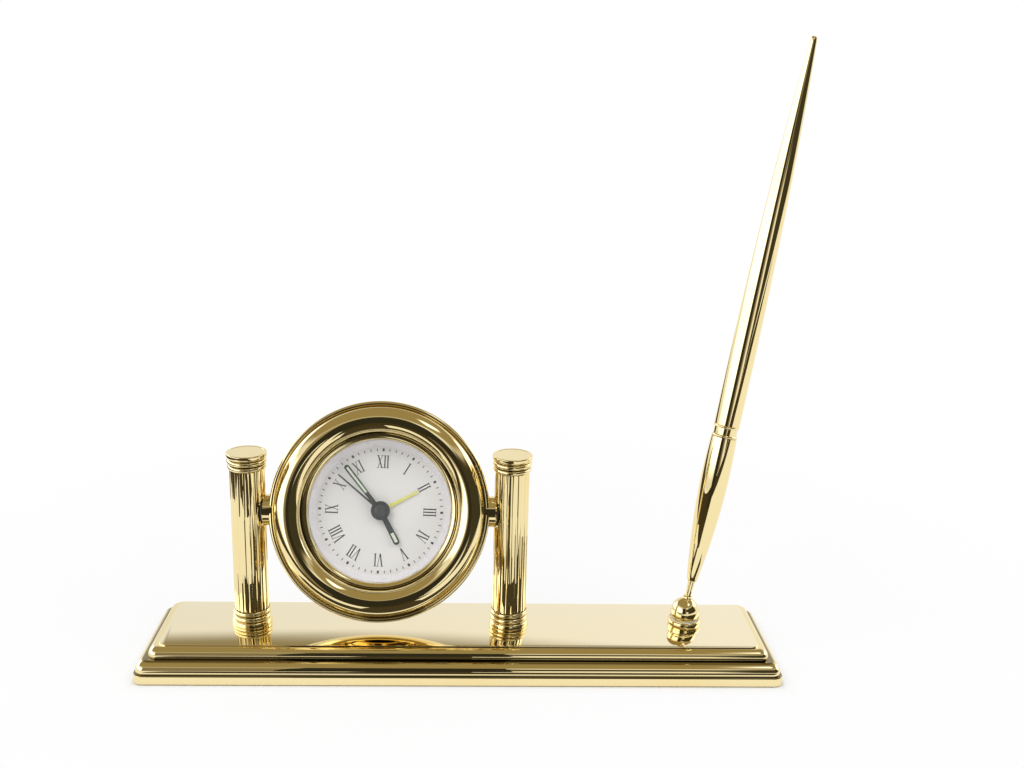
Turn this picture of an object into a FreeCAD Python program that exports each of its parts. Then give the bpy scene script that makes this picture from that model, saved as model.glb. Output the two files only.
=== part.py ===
import FreeCAD, Part
import math
import os

from FreeCAD import Vector

# Desk clock set: a stepped base carries two fluted columns with a tilting alarm clock between them,
# and a slim pen in a swivel ball. Millimetres; the origin is the centre of the felt's underside,
# X runs to the pen's side, Y to the back, Z up.

# Base
base_length = 200.0
base_depth = 43.0
foot_band_height = 3.3
tier_count = 2
tier_round = 2.7
tier_upright = 0.8
tier_ledge = 0.6
tier_height = tier_round + tier_upright
tier_inset = tier_round + tier_ledge
base_height = foot_band_height + tier_count * tier_height
base_edge_round = 0.4
base_wall = 2.0
base_roof = 1.8
shelf_width = 6.6
felt_proud = 0.3
felt_thickness = 1.2
ballast_thickness = 1.5
sheet_clearance = 0.2
roof_underside = base_height - base_roof
ballast_bottom = felt_thickness
ballast_top = ballast_bottom + ballast_thickness
ballast_screw_inset = 5.5
ballast_screw_radius = 1.0
ballast_screw_head = 1.8
ballast_screw_depth = 3.0

# Row of columns, clock and pen holder
row_y = 1.5
clock_offset_share = 0.13
clock_x = -clock_offset_share * base_length
pivot_height = 38.2
clock_tilt = 21.5
pivot_z = base_height + pivot_height

# Clock case, measured from the pivot axis; z is towards the viewer, along the dial's normal
case_radius = 34.2
lip_width = 1.6
rim_wall = 2.3
seam_z = 4.0
ring_seat_depth = 1.0
rim_back_z = -5.6
back_round = 5.7
ring_inner_radius = 24.1
ring_wall = 1.0
ring_outer_radius = case_radius - lip_width
case_back_z = rim_back_z - back_round
case_floor_z = case_back_z + rim_wall
case_inner_radius = case_radius - rim_wall

# Clock insert
insert_gap = 0.1
insert_face_width = 1.9
opening_radius = ring_inner_radius - insert_face_width
insert_wall = 0.8
insert_flange_step = 0.2
crystal_thickness = 1.2
crystal_top_z = seam_z - insert_flange_step
crystal_bottom_z = crystal_top_z - crystal_thickness
insert_radius = ring_inner_radius - insert_gap
insert_bore = insert_radius - insert_wall
fitted_radius = insert_bore - insert_gap
dial_recess = 3.7
dial_z = crystal_bottom_z - dial_recess
rehaut_reveal = 0.2
rehaut_slope = 1.8
rehaut_top_radius = opening_radius - rehaut_reveal
rehaut_bottom_radius = rehaut_top_radius - rehaut_slope
dial_thickness = 0.5
dial_hole_radius = 2.3
plate_thickness = 1.5
plate_front_z = dial_z - dial_thickness
plate_back_z = plate_front_z - plate_thickness

# Movement housing
housing_inset = 2.5
housing_radius = ring_inner_radius - housing_inset
housing_wall = 1.2
housing_floor = 1.8
housing_inside = 10.1
housing_bore = housing_radius - housing_wall
floor_z = plate_back_z - housing_inside
rear_z = floor_z - housing_floor
gasket_width = 0.8
gasket_radius = housing_radius + gasket_width
bridge_thickness = 0.8
motion_work_room = 4.7
bridge_front_z = plate_back_z - motion_work_room
bridge_back_z = bridge_front_z - bridge_thickness
bridge_radius = housing_bore - sheet_clearance
post_radius = 1.4
post_shoulder = 0.5
post_wall_gap = 0.4
post_circle = housing_bore - post_radius - post_wall_gap
post_angles = (30.0, 150.0, 270.0)
housing_screw_radius = 0.6
housing_screw_head = 1.2
housing_screw_head_height = 0.8
screw_bite = 1.0
screw_slot_width = 0.4
screw_slot_depth = 0.4

# Columns, spaced so that bosses, washers and spot faces fill the room beside the case
column_radius = 5.4
column_height = 57.3
column_bore = 1.6
flute_count = 22
flute_radius = 0.45
spot_face_depth = 1.2
spot_face_radius = 5.0
boss_length = 2.1
boss_radius = 4.9
spigot_radius = 2.5
washer_thickness = 0.5
washer_radius = 4.3
running_gap = 0.1
shaft_clearance = 0.05
stud_radius = 1.5
stud_head_radius = 2.6
stud_head_length = 1.1
stud_wall_left = 0.3
spot_face_offset = column_radius - spot_face_depth
boss_end = case_radius + boss_length
washer_start = boss_end + running_gap
column_offset = washer_start + washer_thickness + spot_face_offset
rod_radius = 1.5
rod_below_nut = 0.6
nut_height = 2.4
nut_across_flats = 5.5
cap_top_skin = 1.6
rod_tip_gap = 0.2

# Turned rings of the caps and feet
neck_radius = 5.5
neck_height = 1.0
bead_radius = 6.05
bead_height = 1.8
groove_radius = 5.6
groove_height = 0.25
disc_radius = 6.25
disc_height = 2.4
disc_edge = 0.35
end_height = neck_height + bead_height + groove_height + disc_height

# Going train and motion work: teeth, modules and levels behind the plate
tooth_addendum = 0.70
tooth_dedendum = 1.05
tooth_root_share = 0.28
tooth_tip_share = 0.12
pinion_teeth = 8
rotor_module = 0.15
step_teeth = 40
second_module = 0.20
second_teeth = 48
third_module = 0.16
third_teeth = 60
centre_teeth = 64
cannon_teeth = 12
setting_teeth = 36
setting_module = 0.25
motion_pinion_teeth = 10
hour_teeth = 40
third_distance = third_module * (third_teeth + pinion_teeth) / 2
centre_module = 2 * third_distance / (centre_teeth + pinion_teeth)
step_distance = second_module * (second_teeth + pinion_teeth) / 2
rotor_distance = rotor_module * (step_teeth + pinion_teeth) / 2
setting_distance = setting_module * (cannon_teeth + setting_teeth) / 2
motion_module = 2 * setting_distance / (hour_teeth + motion_pinion_teeth)
third_angle = 250.0
step_angle = 320.0
setting_angle = 60.0
alarm_angle = 150.0
wheel_thickness = 0.5
motion_thickness = 0.7
pinion_overhang = 0.1
arbor_radius = 0.3
setting_arbor_radius = 0.5
arbor_end_gap = 0.05
arbor_hole_depth = 0.6
alarm_wheel_z = plate_back_z - 0.5
hour_wheel_z = plate_back_z - 1.8
setting_wheel_z = plate_back_z - 3.2
centre_wheel_z = bridge_back_z - 0.3
third_wheel_z = bridge_back_z - 1.3
second_wheel_z = bridge_back_z - 2.3
step_wheel_z = bridge_back_z - 3.3
rotor_radius = 1.6
rotor_length = 2.0
rotor_top_z = bridge_back_z - 0.7
minute_pipe_radius = 0.75
pipe_wall = 0.45
hour_pipe_radius = minute_pipe_radius + shaft_clearance + pipe_wall
alarm_pipe_radius = hour_pipe_radius + shaft_clearance + pipe_wall

# Hands: level above the dial, hub, share of the dial's visible radius, widths, angle past twelve
hand_thickness = 0.2
alarm_hand_z = dial_z + 0.6
hour_hand_z = dial_z + 1.3
minute_hand_z = dial_z + 2.0
second_hand_z = dial_z + 2.7
alarm_hub_radius = 2.3
hour_hub_radius = 2.6
minute_hub_radius = 3.0
second_hub_radius = 1.9
second_cap_step = 0.4
second_cap_height = 0.6
alarm_hand_length = 0.654 * rehaut_bottom_radius
hour_hand_length = 0.589 * rehaut_bottom_radius
minute_hand_length = 0.891 * rehaut_bottom_radius
second_hand_length = 0.866 * rehaut_bottom_radius
alarm_root_width = 1.0
alarm_tip_width = 0.7
hour_root_width = 1.5
hour_window_width = 1.0
hour_window_length = 3.2
minute_root_width = 1.2
minute_window_width = 0.7
minute_window_length = 10.0
window_frame = 0.5
window_end_frame = 0.8
second_root_width = 0.5
second_tip_width = 0.3
alarm_hand_angle = 62.6
hour_hand_angle = 152.0
minute_hand_angle = 321.3
second_hand_angle = 310.0

# Cell, door, knobs, switch and the electrical pieces
cell_radius = 5.8
cell_height = 5.4
cell_pole_step = 0.9
cell_pole_height = 0.6
cell_angle = 195.0
well_gap = 0.1
well_wall = 0.5
cell_distance = housing_bore - cell_radius - well_wall - 2 * well_gap
door_half_width = 6.4
door_thickness = 0.9
door_recess = door_thickness + running_gap
door_side_gap = 0.15
door_lap = 0.7
ridge_offset = 3.0
ridge_width = 0.8
ridge_height = 0.4
ridge_half_length = 3.0
contact_thickness = 0.2
pole_contact_half_width = 1.5
pole_contact_start = 1.0
pole_contact_tail = 3.6
side_contact_half_width = 1.0
side_contact_thickness = 1.5 * contact_thickness
knob_radius = 3.4
knob_height = 2.3
knob_lift = 0.3
knob_grooves = 16
knob_groove_radius = 0.35
switch_wall_gap = 6.9
switch_x = housing_bore - switch_wall_gap
switch_y = 2.0
switch_travel = 2.0
switch_button_half_width = 1.6
switch_button_half_length = 2.0
switch_button_height = 1.0
switch_foot_half_width = 1.2
switch_foot_half_length = 0.9
switch_foot_height = 0.6
switch_stem_width = 1.0
switch_stem_length = 1.2
switch_gap = 0.15
buzzer_radius = 6.0
buzzer_thickness = 0.3
buzzer_wall_gap = 0.9
buzzer_distance = housing_bore - buzzer_radius - buzzer_wall_gap
buzzer_angle = 111.8
sound_hole_radius = 0.5
sound_hole_circle = 2.2
sound_hole_count = 6
coil_radius = 1.5
coil_length = 12.0
coil_wall_gap = 4.5
coil_x = 3.4
coil_y = coil_radius + coil_wall_gap - housing_bore
coil_flange = 0.6
coil_flange_step = 0.2
core_width = 1.0
stator_thickness = 0.8
stator_top_z = bridge_back_z - 1.2
stator_leg_width = 1.2
stator_left_reach = 1.8
stator_right_reach = 1.6
pole_piece_left = 3.6
pole_piece_bottom = -12.4
pole_piece_top = -3.0
stator_arm_bottom = -12.0
rotor_air_gap = 0.4
board_left = 7.5
board_bottom = -1.0
board_width = 6.5
board_length = 9.0
board_thickness = 0.8
chip_size = 3.0
chip_thickness = 0.8
chip_inset = 1.1
chip_rise = 4.6
quartz_radius = 0.9
quartz_length = 6.0
quartz_inset = 1.6
quartz_rise = 1.4

# Pen holder and pen; s runs along the pen from the ball's centre
holder_inset = 27.7
holder_x = base_length / 2 - holder_inset
ball_radius = 4.6
ball_wall = 0.9
ball_rise = 4.4
ball_opening_angle = 48.0
ball_gap = 0.05
cup_height = 2.1
cup_floor = 0.6
cup_radius = 5.3
cup_rim_round = 0.6
cup_bore = cup_radius - cup_rim_round
cup_floor_bore = 2.95
neck_bolt_radius = 1.2
bolt_head_gap = 0.1
bolt_head_top = -0.3
bolt_head_bottom = -2.6
bolt_end_proud = 0.5
holder_nut_height = 1.6
holder_nut_flats = 5.0
spring_washer_radius = 2.8
spring_washer_thickness = 0.5
spring_washer_rise = 0.7
pen_lean_right = 10.19
pen_lean_back = 7.24
ball_z = base_height + ball_rise
funnel_radius = 1.6
funnel_top = 5.2
funnel_gap = 0.08
nose_tip_s = 2.6
nose_seam_s = 10.4
nose_tip_radius = 0.55
nose_seam_radius = 1.18
collar_start_s = 58.5
collar_length = 4.0
collar_bead = 0.45
collar_ring_radius = 4.1
collar_band_radius = 3.75
grip_start_radius = 1.6
grip_radius = 4.45
grip_widest_share = 0.74
grip_fullness = 0.9
barrel_radius = 4.05
barrel_end_radius = 0.95
barrel_taper = 2.55
pen_end_s = 184.5
outline_steps = 8
refill_tip_s = 0.6
refill_end_s = 108.0
refill_tip_radius = 0.42
refill_point_radius = 0.2
refill_point_length = 1.2
refill_tube_radius = 1.2
pen_bore_radius = 1.3
pen_spigot_radius = 2.7
pen_spigot_length = 9.0
pen_bore_end_s = 112.0


def box(x0, x1, y0, y1, z0, z1):
    """Block between two corners."""
    return Part.makeBox(x1 - x0, y1 - y0, z1 - z0, Vector(x0, y0, z0))


def rod(radius, z0, z1, x=0.0, y=0.0):
    """Upright cylinder between two heights."""
    return Part.makeCylinder(radius, z1 - z0, Vector(x, y, z0))


def rod_along_x(radius, x0, x1):
    """Cylinder on the X axis."""
    return Part.makeCylinder(radius, x1 - x0, Vector(x0, 0, 0), Vector(1, 0, 0))


def turned(*outline):
    """Solid of revolution about Z from (radius, height) corners.

    A corner written as ((radius, height), (radius, height)) is reached by an arc through its first point.
    """
    start = outline[0]
    here = Vector(start[0], 0, start[1])
    edges = []
    for step in outline[1:] + (start,):
        if isinstance(step[0], tuple):
            through, corner = step
            there = Vector(corner[0], 0, corner[1])
            edges.append(Part.Arc(here, Vector(through[0], 0, through[1]), there).toShape())
        else:
            there = Vector(step[0], 0, step[1])
            edges.append(Part.LineSegment(here, there).toShape())
        here = there
    face = Part.Face(Part.Wire(edges))
    return face.revolve(Vector(0, 0, 0), Vector(0, 0, 1), 360)


def arc_point(centre_r, centre_z, radius, angle):
    """Point on a circle of the outline plane, for the middle of an arc."""
    a = math.radians(angle)
    return (centre_r + radius * math.cos(a), centre_z + radius * math.sin(a))


def tube(outer, inner, z0, z1, x=0.0, y=0.0):
    """Upright ring between two heights."""
    return rod(outer, z0, z1, x, y).cut(rod(inner, z0, z1, x, y))


def polygon(points, z0, z1):
    """Prism over a closed outline in plan."""
    corners = [Vector(x, y, z0) for x, y in points]
    face = Part.Face(Part.makePolygon(corners + corners[:1]))
    return face.extrude(Vector(0, 0, z1 - z0))


def hexagon_nut(across_flats, hole_radius, z0, z1, x, y):
    """Hexagon nut with a plain bore."""
    corner = across_flats / math.sqrt(3)
    points = []
    for side in range(6):
        a = math.radians(60 * side)
        points.append((x + corner * math.cos(a), y + corner * math.sin(a)))
    return polygon(points, z0, z1).cut(rod(hole_radius, z0, z1, x, y))


def polar(distance, angle):
    """Plan position at a distance and an angle from the dial's centre."""
    a = math.radians(angle)
    return (distance * math.cos(a), distance * math.sin(a))


def on_base(shape, x):
    """Moves a piece turned about Z to its place in the row on top of the base."""
    return shape.translated(Vector(x, row_y, base_height))


def on_clock(shape):
    """Moves a piece built about the dial's centre to the pivot, leaning back with the clock."""
    placed = shape.copy()
    placed.rotate(Vector(0, 0, 0), Vector(1, 0, 0), 90.0 - clock_tilt)
    placed.translate(Vector(clock_x, row_y, pivot_z))
    return placed


def on_pen(shape):
    """Moves a piece built along Z from the ball's centre onto the leaning pen axis."""
    lean = Vector(math.tan(math.radians(pen_lean_right)), math.tan(math.radians(pen_lean_back)), 1.0)
    placed = shape.copy()
    placed.Placement = FreeCAD.Placement(
        Vector(holder_x, row_y, ball_z), FreeCAD.Rotation(Vector(0, 0, 1), lean)
    ).multiply(placed.Placement)
    return placed


def save(name, shape):
    """Writes one node's solids."""
    shape.exportStep("parts/" + name + ".step")


# Base

def base_casting():
    """Stepped shell: an upright foot band and rounded tiers, hollow from below."""
    body = box(-base_length / 2, base_length / 2, -base_depth / 2, base_depth / 2,
               felt_proud, foot_band_height)
    body = body.makeFillet(base_edge_round, [e for e in body.Edges if is_level_rim(e, foot_band_height)])
    for tier in range(tier_count):
        inset = tier_ledge + tier * tier_inset
        low = foot_band_height + tier * tier_height
        high = low + tier_height
        step = box(inset - base_length / 2, base_length / 2 - inset,
                   inset - base_depth / 2, base_depth / 2 - inset, low, high)
        step = step.makeFillet(tier_round, [e for e in step.Edges if is_level_rim(e, high)])
        body = body.fuse(step)
    recess = base_box(base_wall, felt_proud, ballast_top)
    hollow = base_box(base_wall + shelf_width, ballast_top, roof_underside)
    body = body.cut(recess).cut(hollow)
    for x, y in ballast_screw_places():
        body = body.cut(rod(ballast_screw_radius, ballast_top, ballast_top + ballast_screw_depth, x, y))
    for side in (-1, 1):
        hole = rod(column_bore, roof_underside, base_height, clock_x + side * column_offset, row_y)
        body = body.cut(hole)
    body = body.cut(rod(neck_bolt_radius + running_gap, roof_underside, base_height, holder_x, row_y))
    return body.removeSplitter()


def is_level_rim(edge, height):
    """True for an edge that lies level at the given height."""
    low, high = edge.BoundBox.ZMin, edge.BoundBox.ZMax
    return math.isclose(low, height, abs_tol=1e-6) and math.isclose(high, height, abs_tol=1e-6)


def base_box(inset, z0, z1):
    """Block that stays one inset inside the base's outline."""
    return box(inset - base_length / 2, base_length / 2 - inset,
               inset - base_depth / 2, base_depth / 2 - inset, z0, z1)


def ballast_screw_places():
    """Plan places of the four corner screws under the base."""
    x = base_length / 2 - ballast_screw_inset
    y = base_depth / 2 - ballast_screw_inset
    return [(-x, -y), (x, -y), (-x, y), (x, y)]


def ballast_screw(x, y, growth=0.0):
    """Countersunk screw with its head flush with the plate's underside."""
    head_height = ballast_screw_head - ballast_screw_radius
    screw = turned((0, 0), (ballast_screw_head + growth, 0),
                   (ballast_screw_radius + growth, head_height),
                   (ballast_screw_radius + growth, ballast_thickness + ballast_screw_depth),
                   (0, ballast_thickness + ballast_screw_depth))
    return screw.translated(Vector(x, y, ballast_bottom))


def ballast_plate():
    """Steel plate that weights the base and closes its underside."""
    plate = base_box(base_wall + sheet_clearance, ballast_bottom, ballast_top)
    for x, y in ballast_screw_places():
        plate = plate.cut(ballast_screw(x, y))
    return plate


def felt_pad():
    """Felt under the ballast plate; the set rests on it."""
    return base_box(base_wall + sheet_clearance, 0.0, felt_thickness)


# Columns

def ringed_end():
    """Turned rings from the shaft's neck up to the outer disc, without a bore."""
    bead_low = neck_height
    bead_high = bead_low + bead_height
    disc_low = bead_high + groove_height
    disc_high = disc_low + disc_height
    edge_centre = disc_radius - disc_edge
    groove_z = (disc_low + disc_high) / 2
    return turned(
        (0, 0), (neck_radius, 0), (neck_radius, neck_height), (groove_radius, bead_low),
        ((bead_radius, (bead_low + bead_high) / 2), (groove_radius, bead_high)),
        (groove_radius, disc_low), (edge_centre, disc_low),
        (arc_point(edge_centre, disc_low + disc_edge, disc_edge, -45), (disc_radius, disc_low + disc_edge)),
        (disc_radius, groove_z),
        (disc_radius, disc_high - disc_edge),
        (arc_point(edge_centre, disc_high - disc_edge, disc_edge, 45), (edge_centre, disc_high)),
        (0, disc_high))


def column_cap():
    """Ringed cap, threaded from below for the tie rod."""
    cap = ringed_end().cut(rod(rod_radius, 0, end_height - cap_top_skin))
    return cap.translated(Vector(0, 0, column_height - end_height))


def column_foot():
    """The same rings turned over, bored for the tie rod."""
    foot = ringed_end().cut(rod(column_bore, 0, end_height))
    foot.rotate(Vector(0, 0, 0), Vector(1, 0, 0), 180)
    return foot.translated(Vector(0, 0, end_height))


def column_shaft(inward):
    """Fluted tube with a spot face for the pivot on its inward side."""
    outline = Part.Face(Part.Wire(Part.makeCircle(column_radius)))
    for flute in range(flute_count):
        x, y = polar(column_radius, 360.0 * flute / flute_count)
        outline = outline.cut(Part.Face(Part.Wire(Part.makeCircle(flute_radius, Vector(x, y, 0)))))
    outline = outline.cut(Part.Face(Part.Wire(Part.makeCircle(column_bore))))
    length = column_height - 2 * end_height
    shaft = outline.extrude(Vector(0, 0, length)).translated(Vector(0, 0, end_height))
    at_pivot = Vector(0, 0, pivot_height)
    spot = Part.makeCylinder(spot_face_radius, column_radius, at_pivot + Vector(inward * spot_face_offset, 0, 0),
                             Vector(inward, 0, 0))
    thread = Part.makeCylinder(stud_radius, column_radius, at_pivot, Vector(inward, 0, 0))
    return shaft.cut(spot).cut(thread)


def tie_rod():
    """Threaded rod from under the base's roof up into the cap."""
    top = column_height - cap_top_skin - rod_tip_gap
    bottom = -base_roof - nut_height - rod_below_nut
    return rod(rod_radius, bottom, top)


def tie_rod_nut():
    """Nut that clamps the column to the base from below."""
    return hexagon_nut(nut_across_flats, rod_radius, -base_roof - nut_height, -base_roof, 0, 0)


# Pivots, built on the right-hand side of the dial's centre along X

def pivot_boss():
    """Turned boss fixed in the case's rim; its inner end is saddled to the rim."""
    inner_end = case_inner_radius
    boss = rod_along_x(boss_radius, inner_end, boss_end)
    boss = boss.cut(rod(case_radius, -2 * boss_radius, 2 * boss_radius))
    spigot = rod_along_x(spigot_radius, inner_end, boss_end)
    bore = rod_along_x(stud_radius + shaft_clearance, 0, boss_end)
    hollow = rod(case_inner_radius, -2 * boss_radius, 2 * boss_radius)
    return boss.fuse(spigot).cut(hollow).cut(bore).removeSplitter()


def pivot_stud():
    """Headed stud from inside the case, screwed into the column's side."""
    head_end = case_inner_radius - 2 * running_gap
    head = rod_along_x(stud_head_radius, head_end - stud_head_length, head_end)
    shank = rod_along_x(stud_radius, head_end - stud_head_length, column_offset - column_bore - stud_wall_left)
    return head.fuse(shank)


def friction_washer():
    """Nylon washer between the boss and the column's spot face."""
    ring = rod_along_x(washer_radius, washer_start, washer_start + washer_thickness)
    return ring.cut(rod_along_x(stud_radius, 0, column_offset))


def on_both_sides(shape):
    """The right-hand pivot piece and its mirror image."""
    return shape, shape.mirror(Vector(0, 0, 0), Vector(1, 0, 0))


# Clock case

def case_shell():
    """Deep rear shell with a rounded lip around the bezel ring and holes for the pivots."""
    lip_top = seam_z + lip_width / 2
    lip_middle = case_radius - lip_width / 2
    shelf_z = seam_z - ring_seat_depth
    curve_r = case_radius - back_round
    inner_round = case_inner_radius - curve_r
    shell = turned(
        (ring_outer_radius, seam_z), ((lip_middle, lip_top), (case_radius, seam_z)),
        (case_radius, rim_back_z),
        (arc_point(curve_r, rim_back_z, back_round, -45), (curve_r, case_back_z)),
        (gasket_radius, case_back_z), (gasket_radius, case_floor_z), (curve_r, case_floor_z),
        (arc_point(curve_r, rim_back_z, inner_round, -45), (case_inner_radius, rim_back_z)),
        (case_inner_radius, shelf_z), (ring_outer_radius, shelf_z))
    return shell.cut(rod_along_x(spigot_radius, -case_radius, case_radius))


def bezel_ring():
    """Half-round front ring with a tube that holds the clock insert."""
    middle = (ring_outer_radius + ring_inner_radius) / 2
    crown = (ring_outer_radius - ring_inner_radius) / 2
    tube_outer = ring_inner_radius + ring_wall
    inner_edge = ring_outer_radius - ring_wall
    shelf_z = seam_z - ring_seat_depth
    return turned(
        (ring_outer_radius, seam_z), ((middle, seam_z + crown), (ring_inner_radius, seam_z)),
        (ring_inner_radius, case_floor_z), (tube_outer, case_floor_z), (tube_outer, seam_z),
        ((middle, seam_z + crown - ring_wall), (inner_edge, seam_z)),
        (inner_edge, shelf_z), (ring_outer_radius, shelf_z))


def insert_bezel():
    """Thin rolled ring over the crystal, with a skirt down to the movement plate."""
    middle = (insert_radius + opening_radius) / 2
    bead = (insert_radius - opening_radius) / 2
    bead_z = seam_z + insert_flange_step
    return turned(
        (opening_radius, crystal_top_z), (opening_radius, bead_z),
        ((middle, bead_z + bead), (insert_radius, bead_z)),
        (insert_radius, plate_back_z), (insert_bore, plate_back_z), (insert_bore, crystal_top_z))


def crystal():
    """Flat clear window."""
    return rod(fitted_radius, crystal_bottom_z, crystal_top_z)


def rehaut_ring():
    """White sloped ring between the crystal and the dial."""
    return turned((rehaut_top_radius, crystal_bottom_z), (fitted_radius, crystal_bottom_z),
                  (fitted_radius, dial_z), (rehaut_bottom_radius, dial_z))


def dial():
    """Printed disc with a hole for the hands' pipes."""
    return tube(fitted_radius, dial_hole_radius, plate_front_z, dial_z)


def mounting_gasket():
    """Rubber ring that holds the housing in the case's back."""
    return tube(gasket_radius, housing_radius, case_back_z, case_floor_z)


# Movement

def post_places():
    """Plan places of the housing's screw posts."""
    return [polar(post_circle, angle) for angle in post_angles]


def gear_places():
    """Plan places of the arbors beside the dial's centre."""
    third = polar(third_distance, third_angle)
    step = polar(step_distance, step_angle)
    rotor_offset = polar(rotor_distance, step_angle)
    return {
        "third": third,
        "step": step,
        "rotor": (step[0] + rotor_offset[0], step[1] + rotor_offset[1]),
        "setting": polar(setting_distance, setting_angle),
        "alarm": polar(setting_distance, alarm_angle),
    }


def movement_plate():
    """Front plate: carries the dial and the front ends of the setting arbors."""
    plate = rod(fitted_radius, plate_back_z, plate_front_z)
    plate = plate.cut(rod(alarm_pipe_radius + shaft_clearance, plate_back_z, plate_front_z))
    for name in ("setting", "alarm"):
        x, y = gear_places()[name]
        hole_top = plate_back_z + arbor_hole_depth + arbor_end_gap
        plate = plate.cut(rod(setting_arbor_radius + shaft_clearance, plate_back_z, hole_top, x, y))
    for x, y in post_places():
        plate = plate.cut(rod(housing_screw_radius, plate_back_z, plate_back_z + screw_bite, x, y))
    return plate


def train_bridge():
    """Middle plate between the motion work and the going train; rests on the posts' shoulders."""
    plate = rod(bridge_radius, bridge_back_z, bridge_front_z)
    cell_x, cell_y = polar(cell_distance, cell_angle)
    holes = [(minute_pipe_radius + shaft_clearance, 0, 0),
             (cell_radius + well_gap + well_wall + sheet_clearance, cell_x, cell_y)]
    places = gear_places()
    holes += [(arbor_radius + shaft_clearance, *places[name]) for name in ("third", "step", "rotor")]
    holes += [(setting_arbor_radius + shaft_clearance, *places[name]) for name in ("setting", "alarm")]
    holes += [(post_radius, x, y) for x, y in post_places()]
    for radius, x, y in holes:
        plate = plate.cut(rod(radius, bridge_back_z, bridge_front_z, x, y))
    return plate


def movement_housing():
    """Rear cup with screw posts, the cell well, the door's recess and the rear openings."""
    cell_x, cell_y = polar(cell_distance, cell_angle)
    cup = rod(housing_radius, rear_z, plate_back_z).cut(rod(housing_bore, floor_z, plate_back_z))
    well_bore = cell_radius + well_gap
    well = tube(well_bore + well_wall, well_bore, floor_z, bridge_back_z, cell_x, cell_y)
    inside = rod(housing_bore + housing_wall / 2, floor_z, plate_back_z)
    cup = cup.fuse(well.common(inside)).cut(rod(well_bore, rear_z, bridge_back_z, cell_x, cell_y))
    for x, y in post_places():
        cup = cup.fuse(rod(post_radius + post_shoulder, floor_z, bridge_back_z, x, y))
        cup = cup.fuse(rod(post_radius, floor_z, plate_back_z, x, y))
    for x, y in post_places():
        cup = cup.cut(rod(housing_screw_radius, rear_z, plate_back_z, x, y))
        cup = cup.cut(rod(housing_screw_head, rear_z, rear_z + housing_screw_head_height, x, y))
    cup = cup.cut(box(-housing_radius - running_gap, cell_x + cell_radius + door_lap + door_side_gap,
                      cell_y - door_half_width - door_side_gap, cell_y + door_half_width + door_side_gap,
                      rear_z, rear_z + door_recess))
    contact_x = cell_x + cell_radius
    slot_half_width = side_contact_half_width + sheet_clearance
    cup = cup.cut(box(contact_x, contact_x + well_wall + 2 * well_gap,
                      cell_y - slot_half_width, cell_y + slot_half_width, floor_z, bridge_back_z))
    places = gear_places()
    for name in ("setting", "alarm"):
        x, y = places[name]
        cup = cup.cut(rod(setting_arbor_radius + shaft_clearance, rear_z, floor_z, x, y))
    for x, y in ((0, 0), places["third"], places["step"], places["rotor"]):
        hole_bottom = floor_z - arbor_hole_depth - arbor_end_gap
        cup = cup.cut(rod(arbor_radius + shaft_clearance, hole_bottom, floor_z, x, y))
    half_width = switch_stem_width / 2 + switch_gap
    half_length = switch_stem_length / 2 + switch_gap
    cup = cup.cut(box(switch_x - half_width, switch_x + half_width,
                      switch_y - half_length, switch_y + switch_travel + half_length, rear_z, floor_z))
    buzzer_x, buzzer_y = polar(buzzer_distance, buzzer_angle)
    for hole in range(sound_hole_count):
        x, y = polar(sound_hole_circle, 360.0 * hole / sound_hole_count)
        cup = cup.cut(rod(sound_hole_radius, rear_z, floor_z, buzzer_x + x, buzzer_y + y))
    return cup


def movement_screw(x, y):
    """Screw from the housing's rear into the front plate."""
    shank = rod(housing_screw_radius, rear_z, plate_back_z + screw_bite, x, y)
    head = rod(housing_screw_head, rear_z, rear_z + housing_screw_head_height, x, y)
    slot = box(x - housing_screw_head, x + housing_screw_head, y - screw_slot_width / 2,
               y + screw_slot_width / 2, rear_z, rear_z + screw_slot_depth)
    return shank.fuse(head).cut(slot)


def gear(teeth, module, thickness, z_top, tooth_angle):
    """Toothed disc about Z with one tooth centred on the given angle."""
    pitch = 360.0 / teeth
    pitch_radius = module * teeth / 2
    root = pitch_radius - tooth_dedendum * module
    tip = pitch_radius + tooth_addendum * module
    points = []
    for tooth in range(teeth):
        middle = tooth_angle + tooth * pitch
        points.append(polar(root, middle - tooth_root_share * pitch))
        points.append(polar(tip, middle - tooth_tip_share * pitch))
        points.append(polar(tip, middle + tooth_tip_share * pitch))
        points.append(polar(root, middle + tooth_root_share * pitch))
    return polygon(points, z_top - thickness, z_top)


def facing_gap(teeth, angle):
    """Tooth angle that puts a gap at the given angle, to take the mating tooth."""
    return angle + 180.0 / teeth


def pinion(teeth, module, wheel_z, wheel_thickness_met, tooth_angle):
    """Pinion a little longer than the wheel it meshes with."""
    thickness = wheel_thickness_met + 2 * pinion_overhang
    return gear(teeth, module, thickness, wheel_z + pinion_overhang, tooth_angle)


def second_wheel():
    """Wheel and pinion on the thin arbor that carries the second hand."""
    wheel = gear(second_teeth, second_module, wheel_thickness, second_wheel_z, step_angle)
    leaf = pinion(pinion_teeth, third_module, third_wheel_z, wheel_thickness, third_angle)
    arbor = rod(arbor_radius, floor_z - arbor_hole_depth, second_hand_z)
    return wheel.fuse(leaf).fuse(arbor)


def third_wheel():
    """Wheel driven by the second pinion, with the pinion that drives the centre wheel."""
    back = third_angle + 180
    wheel = gear(third_teeth, third_module, wheel_thickness, third_wheel_z, facing_gap(third_teeth, back))
    leaf = pinion(pinion_teeth, centre_module, centre_wheel_z, wheel_thickness,
                  facing_gap(pinion_teeth, back))
    arbor = rod(arbor_radius, floor_z - arbor_hole_depth, bridge_back_z + arbor_hole_depth)
    x, y = gear_places()["third"]
    return wheel.fuse(leaf).fuse(arbor).translated(Vector(x, y, 0))


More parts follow.
